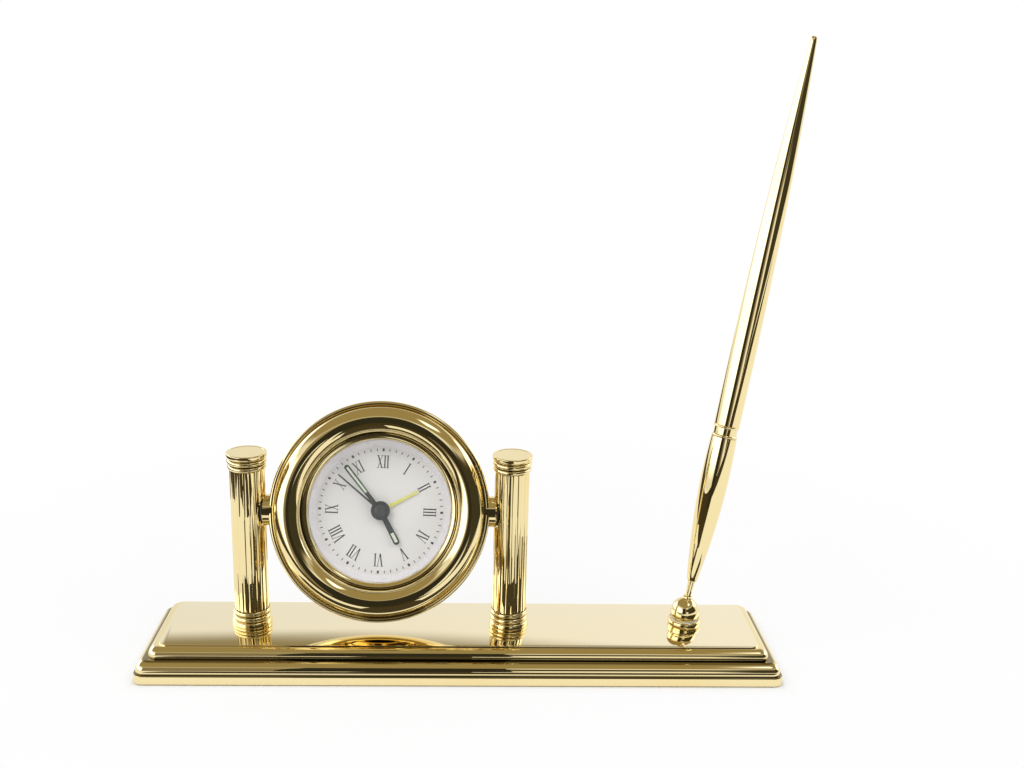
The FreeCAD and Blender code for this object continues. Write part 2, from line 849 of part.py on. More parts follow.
def step_wheel():
    """Wheel driven by the rotor, with the pinion that drives the second wheel."""
    wheel = gear(step_teeth, rotor_module, wheel_thickness, step_wheel_z, step_angle)
    leaf = pinion(pinion_teeth, second_module, second_wheel_z, wheel_thickness,
                  facing_gap(pinion_teeth, step_angle + 180))
    arbor = rod(arbor_radius, floor_z - arbor_hole_depth, bridge_back_z + arbor_hole_depth)
    x, y = gear_places()["step"]
    return wheel.fuse(leaf).fuse(arbor).translated(Vector(x, y, 0))


def rotor():
    """Magnet and pinion of the stepping motor."""
    leaf = pinion(pinion_teeth, rotor_module, step_wheel_z, wheel_thickness,
                  facing_gap(pinion_teeth, step_angle + 180))
    magnet = rod(rotor_radius, rotor_top_z - rotor_length, rotor_top_z)
    arbor = rod(arbor_radius, floor_z - arbor_hole_depth, bridge_back_z + arbor_hole_depth)
    x, y = gear_places()["rotor"]
    return leaf.fuse(magnet).fuse(arbor).translated(Vector(x, y, 0))


def centre_wheel():
    """Minute wheel with its pipe and the cannon pinion in front of the bridge."""
    wheel = gear(centre_teeth, centre_module, wheel_thickness, centre_wheel_z, third_angle)
    cannon = pinion(cannon_teeth, setting_module, setting_wheel_z, motion_thickness, setting_angle)
    pipe = rod(minute_pipe_radius, centre_wheel_z - wheel_thickness, minute_hand_z)
    bore = rod(arbor_radius + shaft_clearance, centre_wheel_z - wheel_thickness, minute_hand_z)
    return wheel.fuse(cannon).fuse(pipe).cut(bore)


def hour_wheel():
    """Hour wheel and its pipe around the minute pipe."""
    wheel = gear(hour_teeth, motion_module, motion_thickness, hour_wheel_z, setting_angle)
    pipe = rod(hour_pipe_radius, hour_wheel_z - motion_thickness, hour_hand_z)
    bore = rod(minute_pipe_radius + shaft_clearance, hour_wheel_z - motion_thickness, hour_hand_z)
    return wheel.fuse(pipe).cut(bore)


def alarm_wheel():
    """Alarm wheel and its pipe around the hour pipe."""
    wheel = gear(hour_teeth, motion_module, motion_thickness, alarm_wheel_z, alarm_angle)
    pipe = rod(alarm_pipe_radius, alarm_wheel_z - motion_thickness, alarm_hand_z)
    bore = rod(hour_pipe_radius + shaft_clearance, alarm_wheel_z - motion_thickness, alarm_hand_z)
    return wheel.fuse(pipe).cut(bore)


def setting_arbor():
    """Arbor from the front plate through the housing to a knob."""
    return rod(setting_arbor_radius, rear_z - knob_lift - knob_height / 2, plate_back_z + arbor_hole_depth)


def setting_wheel():
    """Wheel and pinion between the cannon pinion and the hour wheel, on the time-setting arbor."""
    back = setting_angle + 180
    wheel = gear(setting_teeth, setting_module, motion_thickness, setting_wheel_z,
                 facing_gap(setting_teeth, back))
    leaf = pinion(motion_pinion_teeth, motion_module, hour_wheel_z, motion_thickness,
                  facing_gap(motion_pinion_teeth, back))
    x, y = gear_places()["setting"]
    return wheel.fuse(leaf).fuse(setting_arbor()).translated(Vector(x, y, 0))


def knob():
    """Grooved round knob behind the housing."""
    top = rear_z - knob_lift
    disc = rod(knob_radius, top - knob_height, top)
    disc = disc.makeFillet(knob_groove_radius, [e for e in disc.Edges if is_level_rim(e, top - knob_height)])
    for groove in range(knob_grooves):
        x, y = polar(knob_radius, 360.0 * groove / knob_grooves)
        disc = disc.cut(rod(knob_groove_radius, top - knob_height, top, x, y))
    return disc


def time_set_knob():
    """Knob pressed on the time-setting arbor."""
    x, y = gear_places()["setting"]
    return knob().cut(setting_arbor()).translated(Vector(x, y, 0))


def alarm_set_knob():
    """Knob moulded in one with the arbor and pinion that turn the alarm wheel."""
    leaf = pinion(motion_pinion_teeth, motion_module, alarm_wheel_z, motion_thickness,
                  facing_gap(motion_pinion_teeth, alarm_angle + 180))
    x, y = gear_places()["alarm"]
    return knob().fuse(leaf).fuse(setting_arbor()).translated(Vector(x, y, 0))


def circuit_board():
    """Board under the bridge with its chip and the quartz can."""
    right = board_left + board_width
    underside = bridge_back_z - board_thickness
    board = box(board_left, right, board_bottom, board_bottom + board_length, underside, bridge_back_z)
    chip_x = board_left + chip_inset
    chip_y = board_bottom + chip_rise
    chip = box(chip_x, chip_x + chip_size, chip_y, chip_y + chip_size,
               underside - chip_thickness, underside)
    can_start = Vector(right - quartz_inset, board_bottom + quartz_rise, underside - chip_thickness)
    can = Part.makeCylinder(quartz_radius, quartz_length, can_start, Vector(0, 1, 0))
    return board.fuse(chip).fuse(can)


def stator():
    """Iron loop around the rotor, with the core that passes through the coil."""
    low = stator_top_z - stator_thickness
    left = coil_x - coil_length / 2 - stator_left_reach
    right = coil_x + coil_length / 2 + stator_right_reach
    core_low = coil_y - core_width / 2
    arm_top = stator_arm_bottom + stator_leg_width
    pole = box(pole_piece_left, right, pole_piece_bottom, pole_piece_top, low, stator_top_z)
    arm = box(left, pole_piece_left, stator_arm_bottom, arm_top, low, stator_top_z)
    left_leg = box(left, left + stator_leg_width, core_low, arm_top, low, stator_top_z)
    right_leg = box(right - stator_leg_width, right, core_low, pole_piece_bottom, low, stator_top_z)
    core = box(left, right, core_low, core_low + core_width, low, stator_top_z)
    loop = pole.fuse(arm).fuse(left_leg).fuse(right_leg).fuse(core)
    places = gear_places()
    loop = loop.cut(rod(rotor_radius + rotor_air_gap, low, stator_top_z, *places["rotor"]))
    return loop.cut(rod(2 * arbor_radius, low, stator_top_z, *places["step"])).removeSplitter()


def drive_coil():
    """Wound bobbin on the stator's core."""
    z = stator_top_z - stator_thickness / 2
    start = coil_x - coil_length / 2
    along = Vector(1, 0, 0)
    bobbin = Part.makeCylinder(coil_radius - coil_flange_step, coil_length, Vector(start, coil_y, z), along)
    for x in (start, start + coil_length - coil_flange):
        bobbin = bobbin.fuse(Part.makeCylinder(coil_radius, coil_flange, Vector(x, coil_y, z), along))
    return bobbin.cut(stator())


def buzzer_disc():
    """Piezo sounder on the housing's floor."""
    x, y = polar(buzzer_distance, buzzer_angle)
    return rod(buzzer_radius, floor_z, floor_z + buzzer_thickness, x, y)


def button_cell():
    """Button cell: a can with a narrower raised pole."""
    x, y = polar(cell_distance, cell_angle)
    bottom = rear_z + door_recess + running_gap
    can = rod(cell_radius, bottom, bottom + cell_height - cell_pole_height, x, y)
    return can.fuse(rod(cell_radius - cell_pole_step, bottom, bottom + cell_height, x, y))


def cell_contacts():
    """Spring strip from the cell's pole to the bridge's front, and a strip at the cell's side."""
    x, y = polar(cell_distance, cell_angle)
    pole_z = rear_z + door_recess + running_gap + cell_height
    side_x = x + cell_radius
    bend = side_x - 2 * contact_thickness
    end = side_x + pole_contact_tail
    low, high = y - pole_contact_half_width, y + pole_contact_half_width
    strip_top = bridge_front_z + contact_thickness
    pad = box(x - pole_contact_start, bend, low, high, pole_z, pole_z + contact_thickness)
    riser = box(bend - contact_thickness, bend, low, high, pole_z, strip_top)
    tail = box(bend, end, low, high, bridge_front_z, strip_top)
    side = box(side_x, side_x + side_contact_thickness, y - side_contact_half_width,
               y + side_contact_half_width, floor_z, bridge_back_z)
    return pad.fuse(riser).fuse(tail), side


def battery_door():
    """Sliding door in the housing's rear recess, with a thumb ridge."""
    cell_x, cell_y = polar(cell_distance, cell_angle)
    plate = box(-housing_radius, cell_x + cell_radius + door_lap,
                cell_y - door_half_width, cell_y + door_half_width, rear_z, rear_z + door_thickness)
    plate = plate.common(rod(housing_radius, rear_z, floor_z))
    ridge_x = cell_x - ridge_offset
    ridge = box(ridge_x, ridge_x + ridge_width, cell_y - ridge_half_length, cell_y + ridge_half_length,
                rear_z - ridge_height, rear_z)
    return plate.fuse(ridge)


def alarm_switch():
    """On-off slider: button behind the housing, stem through the slot, foot inside."""
    half_width = switch_stem_width / 2
    half_length = switch_stem_length / 2
    outside = rear_z - running_gap
    inside = floor_z + running_gap
    button = box(switch_x - switch_button_half_width, switch_x + switch_button_half_width,
                 switch_y - switch_button_half_length, switch_y + switch_button_half_length,
                 outside - switch_button_height, outside)
    stem = box(switch_x - half_width, switch_x + half_width, switch_y - half_length,
               switch_y + half_length, outside, inside)
    foot = box(switch_x - switch_foot_half_width, switch_x + switch_foot_half_width,
               switch_y - switch_foot_half_length, switch_y + switch_foot_half_length,
               inside, inside + switch_foot_height)
    return button.fuse(stem).fuse(foot)


# Hands

def hand(hub_radius, bore_radius, length, root_width, tip_width, level, angle):
    """Flat hand with a round hub and a round tip; it points to its angle past twelve."""
    top = level + hand_thickness
    tip_centre = length - tip_width / 2
    blade = polygon([(-root_width / 2, 0), (root_width / 2, 0), (tip_width / 2, tip_centre),
                     (-tip_width / 2, tip_centre)], level, top)
    shape = blade.fuse(rod(tip_width / 2, level, top, 0, tip_centre)).fuse(rod(hub_radius, level, top))
    if bore_radius > 0:
        shape = shape.cut(rod(bore_radius, level, top))
    shape.rotate(Vector(0, 0, 0), Vector(0, 0, 1), -angle)
    return shape


def second_hand():
    """Needle hand with a closed cap over the arbor."""
    needle = hand(second_hub_radius, 0, second_hand_length, second_root_width, second_tip_width,
                  second_hand_z, second_hand_angle)
    cap_radius = second_hub_radius - second_cap_step
    return needle.fuse(rod(cap_radius, second_hand_z, second_hand_z + second_cap_height))


def alarm_hand():
    """Short plain hand behind the others."""
    return hand(alarm_hub_radius, alarm_pipe_radius, alarm_hand_length, alarm_root_width, alarm_tip_width,
                alarm_hand_z - hand_thickness, alarm_hand_angle)


def luminous_hand(hub_radius, bore_radius, length, root_width, window_width, window_length, level, angle):
    """Baton hand that widens outwards, with a long window near its tip."""
    baton = hand(hub_radius, bore_radius, length, root_width, window_width + 2 * window_frame, level, 0)
    window_top = length - window_end_frame
    window = box(-window_width / 2, window_width / 2, window_top - window_length, window_top,
                 level, level + hand_thickness)
    baton = baton.cut(window)
    baton.rotate(Vector(0, 0, 0), Vector(0, 0, 1), -angle)
    return baton


def hour_hand():
    """Short baton with a window."""
    return luminous_hand(hour_hub_radius, hour_pipe_radius, hour_hand_length, hour_root_width,
                         hour_window_width, hour_window_length, hour_hand_z - hand_thickness,
                         hour_hand_angle)


def minute_hand():
    """Long baton with a window."""
    return luminous_hand(minute_hub_radius, minute_pipe_radius, minute_hand_length, minute_root_width,
                         minute_window_width, minute_window_length, minute_hand_z - hand_thickness,
                         minute_hand_angle)


# Pen holder and pen

def holder_cup():
    """Low turned cup around the ball, seated on the base."""
    rim = cup_rim_round
    return turned((cup_floor_bore, 0), (cup_radius - rim / 2, 0), (cup_radius, rim),
                  (cup_radius, cup_height - rim),
                  (arc_point(cup_bore, cup_height - rim, rim, 45), (cup_bore, cup_height)),
                  (cup_bore, cup_floor), (cup_floor_bore, cup_floor))


def ball_seat():
    """Nylon ring under the ball, hollowed to its curve."""
    seat = tube(cup_bore - 3 * ball_gap, cup_floor_bore - running_gap, cup_floor + running_gap,
                cup_height - running_gap)
    return seat.cut(Part.makeSphere(ball_radius + ball_gap, Vector(0, 0, ball_rise)))


def holder_bolt():
    """Bolt whose round head sits inside the hollow ball and holds it down."""
    head = Part.makeSphere(ball_radius - ball_wall - bolt_head_gap)
    reach = ball_radius
    head = head.common(box(-reach, reach, -reach, reach, bolt_head_bottom, bolt_head_top))
    shank_bottom = -ball_rise - base_roof - 2 * spring_washer_rise - holder_nut_height - bolt_end_proud
    bolt = head.fuse(rod(neck_bolt_radius, shank_bottom, bolt_head_top))
    return bolt.translated(Vector(0, 0, ball_rise))


def holder_spring():
    """Two dished spring washers, back to back, between the roof and the nut."""
    inner = neck_bolt_radius + running_gap
    rise = spring_washer_rise - spring_washer_thickness
    top = -base_roof
    upper = turned((inner, top - rise), (spring_washer_radius, top),
                   (spring_washer_radius, top - spring_washer_thickness),
                   (inner, top - rise - spring_washer_thickness))
    middle = top - spring_washer_rise
    lower = upper.mirror(Vector(0, 0, middle), Vector(0, 0, 1))
    return upper, lower


def holder_nut():
    """Nut that tensions the spring washers."""
    top = -base_roof - 2 * spring_washer_rise
    return hexagon_nut(holder_nut_flats, neck_bolt_radius, top - holder_nut_height, top, 0, 0)


def nose_radius(s):
    """Radius of the pen's nose cone at a place along the pen."""
    share = (s - nose_tip_s) / (nose_seam_s - nose_tip_s)
    return nose_tip_radius + (nose_seam_radius - nose_tip_radius) * math.sqrt(share)


def grip_radius_at(s):
    """Radius of the lower barrel: it swells to its widest place and narrows a little to the collar."""
    share = (s - nose_seam_s) / (collar_start_s - nose_seam_s)
    swell = math.sin(math.radians(90.0 * share / grip_widest_share))
    return grip_start_radius + (grip_radius - grip_start_radius) * swell ** grip_fullness


def barrel_radius_at(s):
    """Radius of the upper barrel: nearly straight at first, then tapering to the end."""
    start = collar_start_s + collar_length
    share = (s - start) / (pen_end_s - start)
    return barrel_end_radius + (barrel_radius - barrel_end_radius) * (1.0 - share ** barrel_taper)


def swivel_ball():
    """Hollow ball with a funnel for the pen and an opening below for the bolt."""
    hole = nose_radius(funnel_top) + funnel_gap
    ball = Part.makeSphere(ball_radius).fuse(rod(funnel_radius, 0, funnel_top))
    ball = ball.cut(Part.makeSphere(ball_radius - ball_wall)).cut(rod(hole, 0, funnel_top))
    opening = math.radians(ball_opening_angle)
    depth = 2 * ball_radius
    cone = Part.makeCone(0, depth * math.tan(opening), depth, Vector(0, 0, 0), Vector(0, 0, -1))
    return ball.cut(cone)


def pen_body(radius_at, start, end, bore_radius, bore_end):
    """Turned barrel with a smooth outline between two places along the pen, bored from its start."""
    places = [start + step * (end - start) / outline_steps for step in range(outline_steps + 1)]
    points = [(s, radius_at(s)) for s in places]
    first, last = points[0], points[-1]
    curve = Part.BSplineCurve()
    curve.interpolate([Vector(radius, 0, s) for s, radius in points])
    edges = [
        Part.LineSegment(Vector(0, 0, first[0]), Vector(first[1], 0, first[0])).toShape(),
        curve.toShape(),
        Part.LineSegment(Vector(last[1], 0, last[0]), Vector(0, 0, last[0])).toShape(),
        Part.LineSegment(Vector(0, 0, last[0]), Vector(0, 0, first[0])).toShape(),
    ]
    solid = Part.Face(Part.Wire(edges)).revolve(Vector(0, 0, 0), Vector(0, 0, 1), 360)
    return solid.cut(rod(bore_radius, start, bore_end))


def pen_nose_cone():
    """Slim metal nose around the refill's tip."""
    return pen_body(nose_radius, nose_tip_s, nose_seam_s, refill_tip_radius, nose_seam_s)


def pen_lower_barrel():
    """Swelling grip with a threaded spigot into the upper barrel."""
    spigot_end = collar_start_s + pen_spigot_length
    barrel = pen_body(grip_radius_at, nose_seam_s, collar_start_s, pen_bore_radius, collar_start_s)
    spigot = tube(pen_spigot_radius, pen_bore_radius, collar_start_s, spigot_end)
    return barrel.fuse(spigot).removeSplitter()


def pen_collar():
    """Band between two raised rings."""
    top = collar_start_s + collar_length
    collar = tube(collar_band_radius, pen_spigot_radius, collar_start_s, top)
    for middle in (collar_start_s + collar_bead, top - collar_bead):
        centre = Vector(0, 0, middle)
        torus = Part.makeTorus(collar_ring_radius - collar_bead, collar_bead, centre, Vector(0, 0, 1))
        collar = collar.fuse(torus)
    return collar


def pen_upper_barrel():
    """Long barrel that tapers to a small rounded end."""
    start = collar_start_s + collar_length
    return pen_body(barrel_radius_at, start, pen_end_s, pen_spigot_radius, pen_bore_end_s)


def pen_refill():
    """Writing tip and ink tube."""
    tip = turned((0, refill_tip_s), (refill_point_radius, refill_tip_s),
                 (refill_tip_radius, refill_tip_s + refill_point_length),
                 (refill_tip_radius, nose_seam_s), (0, nose_seam_s))
    return tip.fuse(rod(refill_tube_radius, nose_seam_s, refill_end_s))


def save_base():
    """Base, ballast and felt."""
    save("base_casting", base_casting())
    save("ballast_plate", ballast_plate())
    save("felt_pad", felt_pad())
    save("ballast_screws", Part.makeCompound([ballast_screw(x, y) for x, y in ballast_screw_places()]))


def save_columns():
    """Both columns with their rods and nuts."""
    rods = []
    nuts = []
    for name, side in (("left", -1), ("right", 1)):
        x = clock_x + side * column_offset
        save("column_foot_" + name, on_base(column_foot(), x))
        save("column_shaft_" + name, on_base(column_shaft(-side), x))
        save("column_cap_" + name, on_base(column_cap(), x))
        rods.append(on_base(tie_rod(), x))
        nuts.append(on_base(tie_rod_nut(), x))
    save("tie_rods", Part.makeCompound(rods))
    save("tie_rod_nuts", Part.makeCompound(nuts))


def save_pivots():
    """Pivot bosses on the case, studs and washers on the columns."""
    right_boss, left_boss = on_both_sides(pivot_boss())
    save("pivot_boss_right", on_clock(right_boss))
    save("pivot_boss_left", on_clock(left_boss))
    save("pivot_studs", on_clock(Part.makeCompound(list(on_both_sides(pivot_stud())))))
    save("friction_washers", on_clock(Part.makeCompound(list(on_both_sides(friction_washer())))))


def save_clock():
    """Case, insert, movement, hands and controls, all placed by the clock's tilt."""
    screws = [movement_screw(x, y) for x, y in post_places()]
    nodes = {
        "case_shell": case_shell(),
        "bezel_ring": bezel_ring(),
        "insert_bezel": insert_bezel(),
        "crystal": crystal(),
        "rehaut_ring": rehaut_ring(),
        "dial": dial(),
        "mounting_gasket": mounting_gasket(),
        "movement_plate": movement_plate(),
        "train_bridge": train_bridge(),
        "movement_housing": movement_housing(),
        "movement_screws": Part.makeCompound(screws),
        "second_wheel": second_wheel(),
        "third_wheel": third_wheel(),
        "step_wheel": step_wheel(),
        "rotor": rotor(),
        "centre_wheel": centre_wheel(),
        "hour_wheel": hour_wheel(),
        "alarm_wheel": alarm_wheel(),
        "setting_wheel": setting_wheel(),
        "time_set_knob": time_set_knob(),
        "alarm_set_knob": alarm_set_knob(),
        "circuit_board": circuit_board(),
        "stator": stator(),
        "drive_coil": drive_coil(),
        "buzzer_disc": buzzer_disc(),
        "button_cell": button_cell(),
        "cell_contacts": Part.makeCompound(list(cell_contacts())),
        "battery_door": battery_door(),
        "alarm_switch": alarm_switch(),
        "alarm_hand": alarm_hand(),
        "hour_hand": hour_hand(),
        "minute_hand": minute_hand(),
        "second_hand": second_hand(),
    }
    for name, shape in nodes.items():
        save(name, on_clock(shape))


def save_pen_set():
    """Holder on the base, ball and pen along the leaning axis."""
    save("holder_cup", on_base(holder_cup(), holder_x))
    save("ball_seat", on_base(ball_seat(), holder_x))
    save("holder_bolt", on_base(holder_bolt(), holder_x))
    save("holder_spring", on_base(Part.makeCompound(list(holder_spring())), holder_x))
    save("holder_nut", on_base(holder_nut(), holder_x))
    save("swivel_ball", on_pen(swivel_ball()))
    save("pen_nose_cone", on_pen(pen_nose_cone()))
    save("pen_lower_barrel", on_pen(pen_lower_barrel()))
    save("pen_collar", on_pen(pen_collar()))
    save("pen_upper_barrel", on_pen(pen_upper_barrel()))
    save("pen_refill", on_pen(pen_refill()))


os.makedirs("parts", exist_ok=True)
save_base()
save_columns()
save_pivots()
save_clock()
save_pen_set()
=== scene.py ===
"""Gold-plated desk set: stepped base, fluted columns, tilting alarm clock and a pen in a swivel ball."""

import logging
import math
from dataclasses import dataclass, field
from enum import Enum
from typing import Any, Callable, Iterable, Sequence

import bmesh
import bpy
from bmesh.types import BMesh, BMVert
from bpy.types import Material, Mesh, Node, NodeSocket, NodeTree, Object
from mathutils import Matrix, Vector


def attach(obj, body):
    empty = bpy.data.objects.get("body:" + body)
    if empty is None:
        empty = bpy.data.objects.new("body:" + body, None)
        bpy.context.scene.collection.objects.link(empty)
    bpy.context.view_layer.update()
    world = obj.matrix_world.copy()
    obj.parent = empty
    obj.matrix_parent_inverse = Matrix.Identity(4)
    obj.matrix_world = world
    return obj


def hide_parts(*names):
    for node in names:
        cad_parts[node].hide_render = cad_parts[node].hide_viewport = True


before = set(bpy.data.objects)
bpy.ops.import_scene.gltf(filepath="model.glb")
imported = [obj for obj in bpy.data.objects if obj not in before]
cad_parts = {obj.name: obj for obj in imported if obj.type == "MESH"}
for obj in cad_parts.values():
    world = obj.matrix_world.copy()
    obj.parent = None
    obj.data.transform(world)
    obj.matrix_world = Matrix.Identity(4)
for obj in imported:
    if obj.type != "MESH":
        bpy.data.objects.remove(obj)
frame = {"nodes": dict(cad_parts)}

LOG = logging.getLogger("desk_set")
MM = 0.001
Point = tuple[float, float]
Spot = tuple[float, float, float]
Colour = tuple[float, float, float]
WHITE: Colour = (1.0, 1.0, 1.0)
UNSTRETCHED: Spot = (1.0, 1.0, 1.0)


class Side(Enum):
    """Which side of the clock a column or pivot stands on."""

    LEFT = -1
    RIGHT = 1

    @property
    def word(self) -> str:
        """The side as node names give it."""
        return self.name.lower()


class Numeral(Enum):
    """Letters of a Roman numeral."""

    I = "I"
    V = "V"
    X = "X"


# Node writing

def arithmetic(operation: str, swapped: bool = False) -> Callable[..., "Reading"]:
    """Makes an operator that adds one Math node.

    Args:
        operation: the node's operation.
        swapped: puts the reading second, as in a number less a reading.

    Returns:
        The operator, a method for the class Reading.
    """
    def act(self: "Reading", other: Any = 0.0) -> "Reading":
        """Adds the node and gives its result."""
        first, second = (other, self) if swapped else (self, other)
        node = self.board.node("ShaderNodeMath", {"operation": operation}, {0: first, 1: second})
        return Reading(self.board, node.outputs[0])
    return act


class Reading:
    """A number in a node tree; ordinary operators add the Math nodes."""

    __add__ = __radd__ = arithmetic("ADD")
    __mul__ = __rmul__ = arithmetic("MULTIPLY")
    __sub__ = arithmetic("SUBTRACT")
    __rsub__ = arithmetic("SUBTRACT", swapped=True)
    __truediv__ = arithmetic("DIVIDE")
    __mod__ = arithmetic("MODULO")
    at_most = arithmetic("MINIMUM")
    at_least = arithmetic("MAXIMUM")
    sine = arithmetic("SINE")
    cosine = arithmetic("COSINE")

    def __init__(self, board: "Board", socket: NodeSocket) -> None:
        """Keeps the board it is written on and the socket that gives it."""
        self.board = board
        self.socket = socket

    def between(self, low: float, high: float, soft: float = 0.03) -> "Reading":
        """1 between two values and 0 outside them, with soft edges."""
        return self.step(low - soft, low + soft) * (1.0 - self.step(high - soft, high + soft))

    def step(self, start: float, end: float) -> "Reading":
        """Smooth step from 0 at start to 1 at end."""
        node = self.board.node(
            "ShaderNodeMapRange", {"interpolation_type": "SMOOTHSTEP"},
            {"Value": self, "From Min": start, "From Max": end, "To Min": 0.0, "To Max": 1.0})
        return Reading(self.board, node.outputs[0])


def opaque(colour: Any) -> Any:
    """Adds full opacity to a colour of three parts and leaves a socket as it is."""
    return colour + (1.0,) if isinstance(colour, tuple) else colour


class Board:
    """A node tree, with the methods that add nodes to it."""

    def __init__(self, tree: NodeTree) -> None:
        """Takes over a tree and empties it."""
        self.tree = tree
        tree.nodes.clear()

    def node(self, kind: str, settings: dict[str, Any] | None = None,
             inputs: dict[Any, Any] | None = None) -> Node:
        """Adds a node, sets it and then fills or links its sockets.

        Args:
            kind: the node's type name.
            settings: properties set before the sockets are filled.
            inputs: socket name or number to a value, a socket or a Reading.

        Returns:
            The new node.
        """
        node = self.tree.nodes.new(kind)
        for name, value in (settings or {}).items():
            setattr(node, name, value)
        for key, value in (inputs or {}).items():
            socket = node.inputs[key]
            if isinstance(value, Reading):
                value = value.socket
            if isinstance(value, NodeSocket):
                self.tree.links.new(value, socket)
            else:
                socket.default_value = value
        return node

    def place(self, stretch: Spot = UNSTRETCHED) -> NodeSocket:
        """Object coordinates, stretched along the axes."""
        where = self.node("ShaderNodeTexCoord").outputs["Object"]
        return self.node("ShaderNodeMapping", {}, {"Vector": where, "Scale": stretch}).outputs[0]

    def axes(self, vector: NodeSocket) -> list[Reading]:
        """The three parts of a vector."""
        parts = self.node("ShaderNodeSeparateXYZ", {}, {0: vector}).outputs
        return [Reading(self, part) for part in parts]

    def rays(self) -> list[Reading]:
        """Which rays come from the camera, from polished metal and through glass: 1 for each, else 0."""
        paths = self.node("ShaderNodeLightPath").outputs
        kinds = ("Camera", "Glossy", "Transmission")
        return [Reading(self, paths["Is %s Ray" % kind]) for kind in kinds]

    def noise(self, scale: float, detail: float = 2.0, stretch: Spot = UNSTRETCHED,
              roughness: float = 0.5) -> Reading:
        """Noise on object coordinates, 0 to 1 about a mean of a half."""
        node = self.node("ShaderNodeTexNoise", {}, {
            "Vector": self.place(stretch), "Scale": scale, "Detail": detail, "Roughness": roughness})
        return Reading(self, node.outputs[0])

    def mix(self, share: Any, first: Any, second: Any) -> NodeSocket:
        """Blends two colours, each a colour or a socket, with this share of the second."""
        node = self.node("ShaderNodeMix", {"data_type": "RGBA"}, {
            0: share, 6: opaque(first), 7: opaque(second)})
        return node.outputs[2]

    def bump(self, height: Reading, depth: float) -> NodeSocket:
        """Normal bent by a height, with its full depth in metres."""
        return self.node("ShaderNodeBump", {}, {
            "Height": height, "Distance": depth, "Strength": 1.0}).outputs[0]

    def light(self, kind: str, colour: Any, strength: float = 1.0) -> NodeSocket:
        """A shader that only glows: emission on a sheet or background in the world."""
        return self.node(kind, {}, {"Color": opaque(colour), "Strength": strength}).outputs[0]

    def blend(self, share: Any, first: Any, second: Any) -> NodeSocket:
        """Blends two shaders, with this share of the second."""
        return self.node("ShaderNodeMixShader", {}, {0: share, 1: first, 2: second}).outputs[0]


def painted(name: str) -> tuple[Material, Board]:
    """A new material and the board for its node tree."""
    made = bpy.data.materials.new(name)
    made.use_nodes = True
    return made, Board(made.node_tree)


# Finishes

@dataclass(frozen=True)
class Finish:
    """A surface finish: two shades, a roughness that wanders and a fine grain.

    Attributes:
        name: the material's name.
        colour: main colour.
        shade: colour of the patches, handled or worn places.
        metallic: 0 or 1.
        roughness: lowest roughness.
        spread: how far the roughness wanders upwards.
        patch: size of the patches in metres.
        grain: size of the grain in metres.
        grain_depth: height of the grain in metres.
        stretch: stretching of the grain, small along its direction.
        coat: clear coat.
        record_slot: the record's material slot, where it isn't called like the finish.
    """

    name: str
    colour: Colour
    shade: Colour
    metallic: float = 0.0
    roughness: float = 0.4
    spread: float = 0.15
    patch: float = 0.02
    grain: float = 0.0006
    grain_depth: float = 0.00002
    stretch: Spot = UNSTRETCHED
    coat: float = 0.0
    record_slot: str = ""

    @property
    def slot(self) -> str:
        """The record's material slot."""
        return self.record_slot or self.name

    def colour_over(self, board: Board) -> NodeSocket:
        """Colour with its soft patches."""
        patches = board.noise(1.0 / self.patch, 3.0).step(0.35, 0.75)
        return board.mix(patches, self.colour, self.shade)

    def roughness_over(self, board: Board) -> Reading:
        """Roughness with handling marks."""
        marks = board.noise(1.6 / self.patch, 4.0, roughness=0.6).step(0.3, 0.8)
        return marks * self.spread + self.roughness

    def relief(self, board: Board) -> NodeSocket:
        """Grain of the surface."""
        return board.bump(board.noise(1.0 / self.grain, 2.0, self.stretch), self.grain_depth)

    def make(self) -> Material:
        """Writes the material, once for each finish.

        Returns:
            The Blender material.
        """
        title = "shown_" + self.name
        made = bpy.data.materials.get(title)
        if made is not None:
            return made
        made, board = painted(title)
        shader = board.node("ShaderNodeBsdfPrincipled", {}, {
            "Base Color": self.colour_over(board),
            "Metallic": self.metallic,
            "Roughness": self.roughness_over(board),
            "Coat Weight": self.coat,
            "Coat Roughness": 0.05,
            "Normal": self.relief(board),
        })
        self.extra(board, shader)
        board.node("ShaderNodeOutputMaterial", {}, {"Surface": shader.outputs[0]})
        return made

    def extra(self, board: Board, shader: Node) -> None:
        """Room for what one finish alone has."""


@dataclass(frozen=True)
class GoldPlate(Finish):
    """Mirror-polished plating with wipe marks and the slight waviness of polished castings.

    Lengths are in metres; crease is a painted shade, a dark colour laid in the creases, where a finish has
    them.
    """

    wave: float = 0.012
    wave_depth: float = 0.0000012
    wiped: Colour = (0.86, 0.70, 0.40)
    wiped_share: float = 0.25
    # painted shade: the dark colour laid into creases and between beads
    crease: Colour = (0.10, 0.075, 0.03)

    def colour_over(self, board: Board) -> NodeSocket:
        """Gold that runs a little redder where the plating is thin."""
        thin = board.noise(1.0 / self.patch, 3.0).step(0.45, 0.8)
        streaks = board.noise(420.0, 5.0, (1.0, 0.25, 1.0), 0.65).step(0.62, 0.8)
        return board.mix(streaks * self.wiped_share, board.mix(thin, self.colour, self.shade), self.wiped)

    def roughness_over(self, board: Board) -> Reading:
        """A clean mirror, with faint wipe marks and finger haze."""
        haze = board.noise(1.0 / self.patch, 4.0, roughness=0.6).step(0.55, 0.85)
        marks = board.noise(700.0, 3.0, (1.0, 0.15, 1.0)).step(0.6, 0.75)
        return haze * self.spread + marks * (0.4 * self.spread) + self.roughness

    def relief(self, board: Board) -> NodeSocket:
        """Waviness left by the polishing wheel."""
        return board.bump(board.noise(1.0 / self.wave, 1.0), self.wave_depth)


